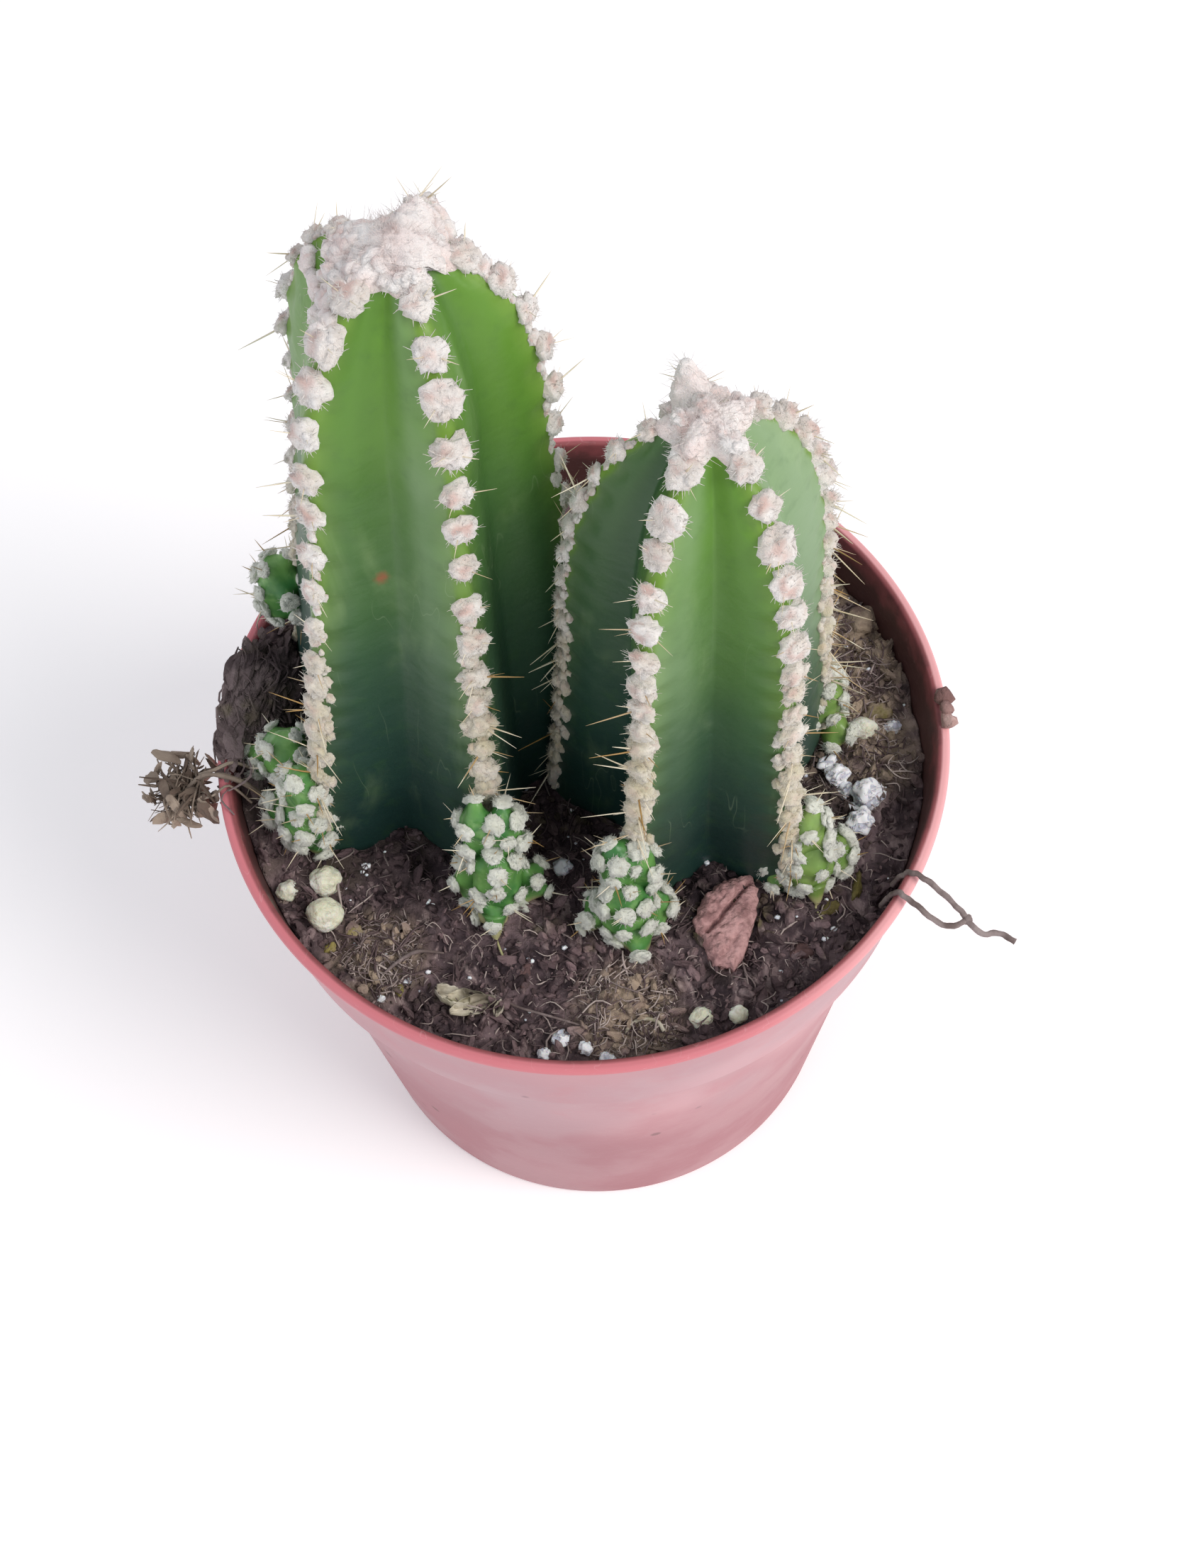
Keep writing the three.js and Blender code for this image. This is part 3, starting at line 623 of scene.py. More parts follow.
def skinMaterial(stem):
    paint = Painter(stem["name"] + "Skin", shine=0.4)
    crest, flank = paint.attribute("crest"), paint.attribute("bloomAndShade")
    rise = paint.calc(paint.attribute("rise"), paint.calc(paint.noise(55, 3), 0.24), "ADD")
    paint.tone(paint.ramp(rise, 0.5, 1.08), skin["young"], skin["mid"])
    paint.tone(paint.ramp(rise, 0.72, 0.2), skin["old"])
    paint.tone(paint.calc(paint.ramp(crest, 0.5, 0.95), paint.ramp(rise, 0.2, 0.8, 0.1, 0.5)), skin["edge"])
    hazy = paint.calc(flank, paint.calc(paint.noise(90, 4), 0.5), "ADD")
    bloomed = paint.calc(paint.ramp(hazy, 0.4, 1.35), paint.ramp(rise, 0.3, 0.88, 0.1, 0.76))
    paint.tone(bloomed, skin["haze"])
    # painted shade: negative flank values darken the skin towards the old colour
    paint.tone(paint.ramp(flank, 0.0, -0.6, 0, 0.75), skin["old"])
    streaky = paint.stretched((1, 1, 0.3), (0.5, 0.35, 0.3))
    scarred = paint.stretched((1, 1, 0.22), (0.7, 0.5, 0))
    paint.clouds(skin["streak"], 140, 4, 0.55, 0.75, 0.2, place=streaky, warp=0.6)
    paint.clouds(skin["mottle"], 420, 4, 0.5, 0.75, 0.22)
    scar = paint.hairline(paint.noise(260, 2, scarred), 0.006, 0.16)
    paint.tone(paint.calc(scar, paint.cloud(70, 1, 0.58, 0.66)), skin["scar"])
    paint.tone(paint.attribute("spot"), skin["spot"])
    fine = paint.relief(1500, 3, 0.12, 0.00012)
    folds = paint.relief(240, 3, 0.22, 0.0005, fine, place=paint.stretched((1, 1, 2.2)))
    return paint.finish(folds, paint.ramp(bloomed, 0, 1, 0.44, 0.7))


bloomAndShade = {  # how bloomed each flank is, with painted light and shade mixed in, negative values painting shade: after a rib going anticlockwise, then before the next one
    "tall": [(-0.2, 0.05), (0.15, 0.3), (0.35, 0.35), (0.3, 0.4), (-0.16, 0.5)],
    "short": [(0.54, 0.02), (0.85, 0.95), (0.3, 0.3), (0.3, 0.0), (-0.44, -0.4)],
}
redSpot = {"stem": "tall", "turn": 0.883, "walked": 44, "size": 1.1, "around": 16}  # around: mm for a radian


def makeStemBody(stem):
    bm = bmesh.new()
    count = len(stem["ribs"])
    around = growth["perRib"] * count
    bmesh.ops.create_uvsphere(bm, u_segments=around, v_segments=growth["rings"], radius=1)
    layers = [bm.verts.layers.float.new(name) for name in ("crest", "rise", "bloomAndShade", "spot")]
    for vert in bm.verts:
        walked = acos(max(-1, min(1, vert.co.z))) / pi * stem["walked"][-1]
        turn = (round(atan2(vert.co.y, vert.co.x) / fullTurn * around) / around) % 1
        place, crest, rise = skinPoint(stem, turn, walked)
        after, before = bloomAndShade[stem["name"]][int(turn * count) % count]
        flank = mix(after, before, smoothStep(turn * count % 1, 0.3, 0.72)) * smoothStep(crest, 1.0, 0.75)
        spot = 0
        if stem["name"] == redSpot["stem"]:
            aside = (turn - redSpot["turn"]) * fullTurn * redSpot["around"]
            spot = 0.7 * smoothStep(hypot(aside, walked - redSpot["walked"]), redSpot["size"], 0.3)
        # painted shade: the skin darkens towards the valleys between the ribs
        valley = skin["valleyShade"] * smoothStep(crest, 0.45, 0.0)
        for layer, value in zip(layers, (crest, rise / stem["height"], flank + valley, spot)):
            vert[layer] = value
        out = (place - axisAt(stem, rise) - Vector((0, 0, soil["level"] + rise))).normalized()
        vert.co = place + out * (0.14 * wave(*(place / 5), 2) + 0.05 * wave(*(place / 1.4), 3))
    finishPiece(bm, stem["name"] + "Stem", skinMaterial(stem), [stem["node"]])


# wool, spines and pups

wool = {"white": "faf6f2", "shade": "e6dcd2", "old": "cfc49e", "centre": "d3a99d", "brown": "a88a78",
        "variants": 10, "clumpVariants": 8, "hair": 0.032, "lobeRough": 0.5,
        "crusts": 16, "besideCrown": 8,  # clumps of wool for each areole low down, and near the crown
        "slimUpTo": 16, "sparseUpTo": 50,  # how far down from the top the slim tufts and the clumps reach
        "oldFrom": (0.122, 0.085)}  # the height over which the wool turns old
crownWool = {"white": "fffcf8", "shade": "fbebe6", "old": "fbebe6", "centre": "f0cec5", "brown": "e6c9bf"}
pupWool = {"white": "f2f3e8", "shade": "d6dac8", "old": "e2e4d6", "centre": "d3d3bb", "brown": "a9af92"}


def woolMaterial(name, values):
    paint = Painter(name, 0.95, 0.1, Sheen_Weight=0.6, Sheen_Roughness=0.6, Subsurface_Weight=0.12,
                    Subsurface_Scale=0.0012, Subsurface_Radius=(1.0, 0.8, 0.7))
    height = paint.axis("Z")
    paint.tone(paint.cloud(330, 3, 0.3, 0.7), values["white"], values["shade"])
    paint.tone(paint.calc(paint.island(), 0.25), values["shade"])
    worn = paint.ramp(paint.noise(210, 3), 0.3, 0.75, 0.4, 1)
    paint.tone(paint.calc(paint.ramp(height, *wool["oldFrom"]), worn), values["old"])
    pink = paint.ramp(height, *wool["oldFrom"], 0.85, 0.35)
    paint.tone(paint.calc(paint.attribute("tone"), pink), values["centre"])
    paint.clouds(values["brown"], 700, 4, 0.6, 0.76, 0.4)
    knots = paint.relief(900, 4, 0.4, 0.0007, warp=0.8)
    return paint.finish(paint.relief(3200, 4, 0.6, 0.0004, knots, warp=2))


def lobe(bm, place, radius, seed):
    made = bmesh.ops.create_icosphere(bm, subdivisions=2, radius=radius, matrix=moved(place))
    for vert in made["verts"]:
        off = (vert.co - Vector(place)) / radius
        vert.co += off * radius * wool["lobeRough"] * wave(*(off * 1.7), seed)


def hair(bm, root, way, length, radius):
    matrix = moved(root + way * length / 2) @ facing(way)
    bmesh.ops.create_cone(bm, segments=3, radius1=radius, radius2=radius * 0.3, depth=length, matrix=matrix)


def hairs(bm, dice, count, reach, longest):  # fine hairs that stand out of a tuft all round
    for i in range(count):
        z = 1 - 1.05 * (i + 0.5) / count
        angle = goldenAngle * i + dice.uniform(-0.3, 0.3)
        level = sqrt(max(0, 1 - z * z))
        way = Vector((level * cos(angle), level * sin(angle), z))
        lean = way + 0.8 * scatter(dice)
        hair(bm, way * reach, lean.normalized(), dice.uniform(0.5, 1) * longest, wool["hair"])


def tuft(bm, seed):  # a pad of wool of about unit radius, with +Z outwards and +Y up the crest
    dice = random.Random(seed)
    layer = bm.verts.layers.float.new("tone")
    bmesh.ops.create_icosphere(bm, subdivisions=3, radius=1)
    for vert in bm.verts:
        off = vert.co.copy()
        vert.co = off * (0.86 + waves(off, (0.3, 1.25, seed), (0.26, 2.7, seed + 3), (0.14, 6, seed + 5)))
        centred = off.z + 0.45 * off.y - 0.3 * off.x + 0.9 * wave(*(off * 1.6), seed + 7)
        vert[layer] = 0.9 * smoothStep(centred, 0.7, 1.5)
    for _ in range(3):
        angle, reach = dice.uniform(-2.2, 0.8), dice.uniform(0.4, 0.66)
        spot = (reach * cos(angle), reach * sin(angle), dice.uniform(0.3, 0.55))
        lobe(bm, spot, dice.uniform(0.24, 0.38), dice.random() * 9)
    hairs(bm, dice, 48, 0.76, 0.62)
    for vert in bm.verts:  # narrower towards its foot
        vert.co.x *= 1 + 0.16 * vert.co.y


def clump(bm, seed):  # a smaller knot of old wool
    dice = random.Random(seed)
    layer = bm.verts.layers.float.new("tone")
    bmesh.ops.create_icosphere(bm, subdivisions=2, radius=1)
    for vert in bm.verts:
        off = vert.co.copy()
        vert.co = off * (0.85 + waves(off, (0.46, 1.3, seed), (0.28, 3, seed + 2)))
        vert[layer] = 0.8 * smoothStep(wave(*(off * 0.9), seed + 4), 0.0, 0.5)
    hairs(bm, dice, 6, 0.7, 1.0)


def lump(bm, seed, detail=2, rough=0.3):  # a crumb of about unit radius
    bmesh.ops.create_icosphere(bm, subdivisions=detail, radius=1)
    for vert in bm.verts:
        vert.co *= 1 + waves(vert.co, (rough, 1.3, seed), (0.5 * rough, 3.1, seed + 9))


def needle(bm, seed):  # a curved spine of unit length along +Z
    dice = random.Random(seed)
    curve = dice.uniform(-0.16, 0.16)
    line = [Vector((curve * sin(pi * t / 2) * t, 0, t)) for t in (0, 0.3, 0.6, 0.85, 1)]
    sweep(bm, line, [0.034, 0.032, 0.025, 0.014, 0.005], 4)


tufts = [smallShape(f"tuft{i}", tuft, 20 + 3 * i) for i in range(wool["variants"])]
clumps = [smallShape(f"clump{i}", clump, 40 + i) for i in range(wool["clumpVariants"])]
needles = [smallShape(f"needle{i}", needle, 60 + i) for i in range(8)]
spines = {
    "thick": 2.8, "length": (2.8, 6.4), "bristle": 1.7, "bristleLength": (1.6, 3.2), "pupThick": 2.4,
    "pupLength": (1.4, 3.2), "pale": "efe6ce", "gold": "b08a50", "ring": "cbb07a",
}


def clearOf(stem, place, margin):  # whether a place keeps a level margin from a stem's own skin
    rise = place.z - soil["level"]
    if rise > stem["height"] + margin:
        return True
    rise = min(rise, stem["height"] - 1)
    off = place - axisAt(stem, rise)
    azimuth, away, reach = atan2(off.y, off.x), hypot(off.x, off.y), reachAt(stem, rise)
    ribs = [radians(a) for a in stem["ribs"]]
    for a, b in zip(ribs, ribs[1:] + ribs[:1]):
        spread, along = (b - a) % fullTurn, (azimuth - a) % fullTurn
        if along <= spread:
            half, valley = spread / 2, stem["valley"] * reach
            side = min(along, spread - along)
            flank = valley * sin(half) / (reach * sin(side) + valley * sin(half - side))
            return away > reach * flank + margin
    return True


def overSoil(place, margin):
    return place.z > soilHeight(place.x, place.y) + margin


def addSpine(bm, dice, root, aim, length, thick):
    turn = aim.to_track_quat("Z", "Y") @ Quaternion((0, 0, 1), dice.uniform(0, fullTurn))
    place = moved(root) @ turn.to_matrix().to_4x4()
    stamp(bm, dice.choice(needles), place @ sized(thick, thick, length))


def makeWool(stem, other):
    dice = random.Random(stem["seed"] + 40)
    woolly, spiny = bmesh.new(), bmesh.new()
    woolly.verts.layers.float.new("tone")
    for rib, spots in enumerate(stem["spots"]):
        bulk, stand = stem["ribWool"][rib]
        more, highest = stem["spiny"].get(rib, (0, 0.5))
        for walked in spots:
            place, across, up, out, rise = crestFrame(stem, rib, walked)
            t = rise / stem["height"]
            size = mix(stem["tuftLow"], stem["tuftMid"], smoothStep(t, 0.1, 0.45))
            size = mix(size, stem["tuftHigh"], smoothStep(t, 0.6, 0.9)) * dice.uniform(0.85, 1.1) * bulk
            if walked < wool["slimUpTo"]:
                size *= stem["slimTop"].get(rib, 1)
            middle = place + out * 0.02 * size
            if not overSoil(middle, 0.3 * size):
                continue
            shape = axes(across, up, out, middle, (size, size * 1.02, size * stand))
            stamp(woolly, dice.choice(tufts), shape @ turned(dice.uniform(-0.6, 0.6)))
            crusty = smoothStep(t, 0.72, 0.34)  # old wool runs together between the areoles
            sparse = wool["besideCrown"] * (bulk < 0.9) * (walked < wool["sparseUpTo"])
            for _ in range(round(wool["crusts"] * crusty + sparse * (1 - crusty) + dice.uniform(-0.5, 0.9))):
                here = walked + dice.uniform(-0.05, 1) * stem["lower"]
                _, side, rising, outward, _ = crestFrame(stem, rib, here)
                sense = dice.choice((-0.5, 0.5))
                beside = sense * min(0.13 + 0.1 * crusty, abs(dice.gauss(0, 0.06 + 0.08 * crusty)))
                spot, _, _ = skinPoint(stem, ((rib + beside) / len(stem["ribs"])) % 1, here)
                if overSoil(spot, 0.5):
                    small = dice.uniform(0.45, 1.0) * mix(0.75, 1, crusty)
                    shape = axes(side, rising, outward, spot, (small, small * 1.3, small * 0.8))
                    stamp(woolly, dice.choice(clumps), shape @ turned(dice.uniform(0, 6)))
            longOnes = dice.choice((0, 1, 2, 2)) + more if t < highest else dice.choice((0, 0, 1))
            for i in range(longOnes + dice.choice((1, 2, 2))):
                sense = dice.choice((-1, 1))
                aim = (across * sense * dice.uniform(0.5, 1) + out * dice.uniform(0.15, 0.9)
                       + up * dice.uniform(-0.5, 0.55)).normalized()
                isSpine = i < longOnes
                length = dice.uniform(*spines["length" if isSpine else "bristleLength"])
                length *= mix(1, 0.75, t) if isSpine else 1
                thick = spines["thick" if isSpine else "bristle"] * dice.uniform(0.8, 1.15)
                root = middle + aim * size * 0.35
                tip = root + aim * length
                if overSoil(tip, 0) and clearOf(other, tip, 0.4):
                    addSpine(spiny, dice, root, aim, length, thick)
    finishPiece(woolly, stem["name"] + "Wool", woolPaint)
    finishPiece(spiny, stem["name"] + "Spines", spinePaint)


crown = {
    "tufts": 9, "tuftSize": (1.0, 1.5), "hairs": 700, "hairLength": (0.5, 1.9), "hairRadius": 0.035,
    "thick": 1.25, "thinner": 0.85, "under": -0.7, "sides": 36, "tipClear": 2.4,
    "besideReach": (4.5, 10, 1.5), "besideSize": (0.8, 1.5),
}


def spire(bm, line, widths, seed):  # the drawn-up tip of the crown's wool
    sweep(bm, line, widths, crown["sides"])
    bm.normal_update()
    for vert in bm.verts:
        rough = waves(vert.co, (0.5, 0.6, seed), (0.42, 1.3, seed + 1), (0.2, 3.1, seed + 2))
        calm = min(1, (vert.co - line[-1]).length / 3)  # less rough towards the tip
        vert.co += vert.normal * rough * calm * widths[0] / 3


def makeCrown(stem):  # the hazy wool on top: a ragged cap with a tip over the back rib
    dice = random.Random(stem["seed"] + 55)
    bm = bmesh.new()
    layer = bm.verts.layers.float.new("tone")
    bmesh.ops.create_uvsphere(bm, u_segments=150, v_segments=84, radius=1)
    for vert in bm.verts:
        share = 2 * acos(max(-1, min(1, vert.co.z))) / pi
        turn = (atan2(vert.co.y, vert.co.x) / fullTurn) % 1
        isUnder = share > 1
        share = 2 - share if isUnder else share
        reach = stem["crownReach"] * (1 + 0.16 * wave(vert.co.x * 3, vert.co.y * 3, 0, stem["seed"]))
        place, _, _ = skinPoint(stem, turn, share * reach)
        lift = crown["under"]
        if not isUnder:
            swell = waves(place, (0.55, 0.42, 21), (0.5, 0.9, 22), (0.25, 2.1, 23))
            behind = share * exp(-((turn - stem["back"]) / 0.17) ** 2)
            lift = sqrt(1 - share ** 2) * (crown["thick"] + swell) * (1 - crown["thinner"] * behind)
        vert.co = place + Vector((0, 0, lift))
        vert[layer] = 0.7 * smoothStep(wave(*(place * 0.55), 24), 0.0, 0.5)
    line = smoothLine(stem["spire"], 6)
    steps = len(line) - 1
    widths = []
    for i in range(steps + 1):
        t = i / steps * (len(stem["spireWidths"]) - 1)
        low = min(int(t), len(stem["spireWidths"]) - 2)
        widths.append(mix(stem["spireWidths"][low], stem["spireWidths"][low + 1], t - low))
    stamp(bm, smallShape("spire", spire, line, widths, stem["seed"]), Matrix.Identity(4))
    bm.normal_update()
    tops = [(vert.co.copy(), vert.normal.copy()) for vert in bm.verts if vert.normal.z > 0.15]
    tip = line[steps // 2:]
    calm = [top for top in tops if min((top[0] - spot).length for spot in tip) > crown["tipClear"]]
    for _ in range(crown["tufts"]):
        spot, out = dice.choice(calm)
        size = dice.uniform(*crown["tuftSize"])
        shape = moved(spot - out * size * 0.3) @ turned(dice.uniform(0, 6)) @ sized(size, size, size * 0.8)
        stamp(bm, dice.choice(tufts), shape)
    for start, end, count in stem["beside"]:
        for _ in range(count):
            spot, _, _ = skinPoint(stem, dice.uniform(start, end), mostlySmall(dice, *crown["besideReach"]))
            size = dice.uniform(*crown["besideSize"])
            shape = moved(spot) @ randomTurn(dice) @ sized(size, size, size * 0.8)
            stamp(bm, dice.choice(clumps), shape)
    for _ in range(crown["hairs"]):
        spot, out = dice.choice(tops)
        aim = (out + 1.1 * scatter(dice)).normalized()
        hair(bm, spot - out * 0.1, aim, dice.uniform(*crown["hairLength"]), crown["hairRadius"])
    finishPiece(bm, stem["name"] + "Crown", crownPaint)


pads = {
    "apart": 2.2, "swell": 0.8, "reach": 1.1, "tries": 340,
    "radius": (0.95, 1.45), "flat": 0.55, "lift": 0.32,
    "dark": "38773a", "light": "6ea252", "edge": "9dc47c", "yellowed": "b0b45e", "foot": "c4b88c",
}


def shareOf(step, size):  # a step as a share of a size, way by way
    return Vector([a / b for a, b in zip(step, size)])


def padSpots(lobes, dice):  # the pads of wool over a cluster of lobes: place and way out of each
    spots = []
    for centre, size in lobes:
        others = [(c, s) for c, s in lobes if c != centre]
        for _ in range(pads["tries"]):
            unit = Vector([dice.gauss(0, 1) for _ in range(3)]).normalized()
            spot = centre + unit * size
            isHidden = any(shareOf(spot - c, s).length < 1 for c, s in others) or not overSoil(spot, 0.6)
            if not isHidden and all((spot - known).length > pads["apart"] for known, _ in spots):
                spots.append((spot, shareOf(unit, size).normalized()))
    return spots


def makePups(stem):
    dice = random.Random(stem["seed"] + 70)
    green, woolly, spiny = bmesh.new(), bmesh.new(), bmesh.new()
    woolly.verts.layers.float.new("tone")
    for cluster in stem["pups"]:
        lobes = [(Vector((x, y, soil["level"] + foot + height / 2)), Vector((radius, radius, height / 2)))
                 for x, y, foot, radius, height in cluster]
        spots = padSpots(lobes, dice)
        for centre, size in lobes:
            made = bmesh.ops.create_uvsphere(green, u_segments=36, v_segments=26, radius=1)["verts"]
            for vert in made:
                unit = vert.co.copy()
                place = centre + unit * size
                out = shareOf(unit, size).normalized()
                swell = sum(exp(-((place - spot).length / pads["reach"]) ** 2) for spot, _ in spots)
                vert.co = place + out * (pads["swell"] * min(1, swell) - 0.5 + 0.3 * wave(*(place / 2), 5))
        for spot, out in spots:
            place = spot + out * pads["lift"]
            across = out.cross(Vector((0, 0, 1))).normalized()
            radius = dice.uniform(*pads["radius"])
            shape = axes(across, out.cross(across), out, place, (radius, radius, radius * pads["flat"]))
            stamp(woolly, dice.choice(tufts), shape @ turned(dice.uniform(0, 6)))
            for _ in range(dice.choice((0, 1, 1, 2))):
                aim = out + across * dice.uniform(-1, 1) + Vector((0, 0, dice.uniform(-0.4, 0.9)))
                length = dice.uniform(*spines["pupLength"])
                addSpine(spiny, dice, place, aim.normalized(), length, spines["pupThick"])
    for shoot in stem["shoots"]:  # a tapered foot with a fine root
        line = smoothLine([(x, y, soilHeight(x, y) + rise) for x, y, rise in shoot], 6)
        widths = [max(0.14, 1.5 * (1 - 1.9 * i / (len(line) - 1))) for i in range(len(line))]
        sweep(green, line, widths, 8)
    faceOut(green)
    finishPiece(green, stem["name"] + "Pups", pupPaint)
    finishPiece(woolly, stem["name"] + "PupWool", pupWoolPaint)
    finishPiece(spiny, stem["name"] + "PupSpines", spinePaint)


def spineMaterial():
    paint = Painter("spineStraw", 0.4, 0.4)
    gold = paint.calc(paint.ramp(paint.island(), 0.3, 0.9), paint.ramp(paint.axis("Z"), 0.13, 0.1, 0.25, 1))
    paint.tone(gold, spines["gold"], spines["pale"])
    paint.clouds(spines["ring"], 500, 2, 0.5, 0.7, 0.4)
    return paint.finish()


def pupMaterial():
    paint = Painter("pupSkin", 0.34)
    paint.tone(paint.cloud(230, 3, 0.3, 0.7), pads["light"], pads["dark"])
    paint.clouds(pads["edge"], 500, 3, 0.5, 0.75, 0.45)
    yellowed = paint.ramp(paint.axis("X"), 0.019, 0.024, 0, 0.6)
    paint.tone(paint.calc(yellowed, paint.noise(260, 2)), pads["yellowed"])
    paint.tone(paint.ramp(paint.axis("Z"), 0.0672, 0.0658, 0, 0.8), pads["foot"])
    return paint.finish(paint.relief(1200, 3, 0.25, 0.0002))


woolPaint = woolMaterial("areoleWool", wool)
crownPaint = woolMaterial("crownWool", crownWool)
pupWoolPaint = woolMaterial("pupWool", pupWool)
spinePaint = spineMaterial()
pupPaint = pupMaterial()
prepareStem(tall)
prepareStem(short)
for stem, other in ((tall, short), (short, tall)):
    makeStemBody(stem)
    makeWool(stem, other)
    makeCrown(stem)
    makePups(stem)
    print(stem["name"], "stem made")


# the soil

peat = {
    "dark": "3c3236", "mid": "806d70", "light": "b09b99", "moss": "7d7650", "grain": "c6b5ae",
    "stemShadow": "231c21", "patch": "b3a08c", "crumbs": 5000, "fibres": 1700, "specks": 190, "seed": 5,
    "crumbSize": (0.2, 0.55, 3.2), "fibreLength": (0.7, 4, 2.8), "speckSize": (0.16, 0.3, 2), "bigCrumb": 0.5,
    "patches": [(31, 1, 12), (35, 16, 13), (-25, -24, 7), (3, -33, 8)],  # paler places: x, y, reach
    "tuftFibres": 1100,  # more fibres, all in the paler places
}


def stemShadow(paint):  # painted shadow: how near a place is to either stem, where the soil is darkened
    spots = [(*stem["foot"], stem["lowReach"] * 1.28, stem["lowReach"] * 0.85) for stem in (tall, short)]
    return paint.calc(paint.nearAny(spots), 0.62)


def mossy(paint):  # how near it is to the middle of a paler place
    spots = [(x, y, reach, reach * 0.4) for x, y, reach in peat["patches"]]
    return paint.calc(paint.nearAny(spots), paint.cloud(400, 3, 0.25, 0.6))


def peatMaterial():
    paint = Painter("peat", 0.97, 0.15)
    strands = paint.stretched((1, 0.35, 1), (0, 0, 0.6))
    paint.tone(paint.cloud(300, 5, 0.3, 0.72), peat["mid"], peat["dark"])
    paint.clouds(peat["light"], 420, 4, 0.52, 0.72, 0.7, place=strands, warp=1.2)
    paint.clouds(peat["moss"], 45, 3, 0.55, 0.72, 0.3)
    paint.clouds(peat["grain"], 1500, 2, 0.64, 0.76, 0.5)
    paint.tone(paint.calc(mossy(paint), 0.8), peat["patch"])
    # painted shadow: the peat darkens near the stems
    paint.tone(stemShadow(paint), peat["stemShadow"])
    return paint.finish(paint.relief(700, 6, 0.9, 0.0012))


def crumbMaterial(name, dark, mid, light):
    paint = Painter(name, 0.97, 0.15)
    paint.tone(paint.island(), mid, dark)
    paint.clouds(light, 600, 4, 0.5, 0.75, 0.6)
    olive = paint.calc(paint.cloud(75, 4, 0.5, 0.64), paint.ramp(paint.noise(500, 1), 0.4, 0.6, 0.1, 0.7))
    paint.tone(olive, peat["moss"])
    paint.clouds(peat["dark"], 48, 4, 0.47, 0.36, 0.6, warp=0.4)
    paint.tone(mossy(paint), peat["patch"])
    # painted shadow: crumbs darken near the stems
    paint.tone(stemShadow(paint), peat["stemShadow"])
    return paint.finish(paint.relief(1300, 5, 0.8, 0.0008))


def fibreMaterial():
    paint = Painter("dryFibres", 0.85, 0.2)
    paint.tone(paint.ramp(paint.island(), 0.3, 1), "c9bab3", "5c4c4e")
    paint.clouds("7f6c6b", 160, 2, 0.4, 0.7, 0.4)
    # painted shadow: fibres darken near the stems
    paint.tone(stemShadow(paint), peat["stemShadow"])
    return paint.finish(paint.relief(1800, 3, 0.4, 0.0003))


def soilRelief(x, y):
    z = soilHeight(x, y)
    coarse = noise.fractal(Vector((x, y, 0)) * 0.33, 0.9, 2.1, 4)
    fine = noise.turbulence(Vector((x, y, 3)) * 0.9, 4, True) - 0.5
    return z + soil["grain"] * coarse + soil["fineGrain"] * fine


def makeSoil():
    bm = bmesh.new()
    low, gap = pot["floor"] + 0.3, 0.25
    side = [(innerRadius(z) - gap, z) for z in (low, 20, 40, collarFoot - 0.6, collarFoot + 2, 60, 63.5)]
    edge = innerRadius(soil["level"]) - 0.1
    top = [(edge * (1 - i / soil["rings"]), soil["level"]) for i in range(soil["rings"] + 1)]
    spun(bm, [(0, low)] + side + top, soil["steps"])
    for vert in bm.verts:
        r = hypot(vert.co.x, vert.co.y)
        if vert.co.z < soil["level"] - 0.5:
            continue
        vert.co.z = soilRelief(vert.co.x, vert.co.y)
        if r > edge - 0.01:
            stretch = (innerRadius(min(vert.co.z, 70)) - 0.1) / r
            vert.co.x, vert.co.y = vert.co.x * stretch, vert.co.y * stretch
    finishPiece(bm, "peatSoil", peatMaterial(), ["soil"])


def flatThread(bm, seed):  # a bent fibre of unit length along X, lying in the XY plane
    dice = random.Random(seed)
    bow, twist = dice.uniform(-0.34, 0.34), dice.uniform(-0.12, 0.12)
    line = [Vector((t - 0.5, bow * sin(pi * t) + twist * sin(2 * pi * t),
                    0.05 * sin(pi * t))) for t in (0, 0.2, 0.4, 0.6, 0.8, 1)]
    middle = dice.uniform(0.02, 0.045)
    widths = [middle * mix(0.4, 1, sin(pi * t)) for t in (0.1, 0.3, 0.5, 0.6, 0.8, 0.95)]
    sweep(bm, line, widths, 4, 0.4)


lumps = [smallShape(f"lump{i}", lump, 80 + i, 2, 0.5) for i in range(8)]
grains = [smallShape(f"grain{i}", lump, 100 + i, 1, 0.6) for i in range(8)]
threads = [smallShape(f"thread{i}", flatThread, 120 + i) for i in range(14)]


def openSpot(dice, margin, farthest=39.8):  # a place on the soil that keeps clear of both stems
    while True:
        r, a = farthest * sqrt(dice.random()), dice.uniform(0, fullTurn)
        spot = Vector((r * cos(a), r * sin(a), soil["level"] + 1))
        if clearOf(tall, spot, margin) and clearOf(short, spot, margin):
            return spot.x, spot.y


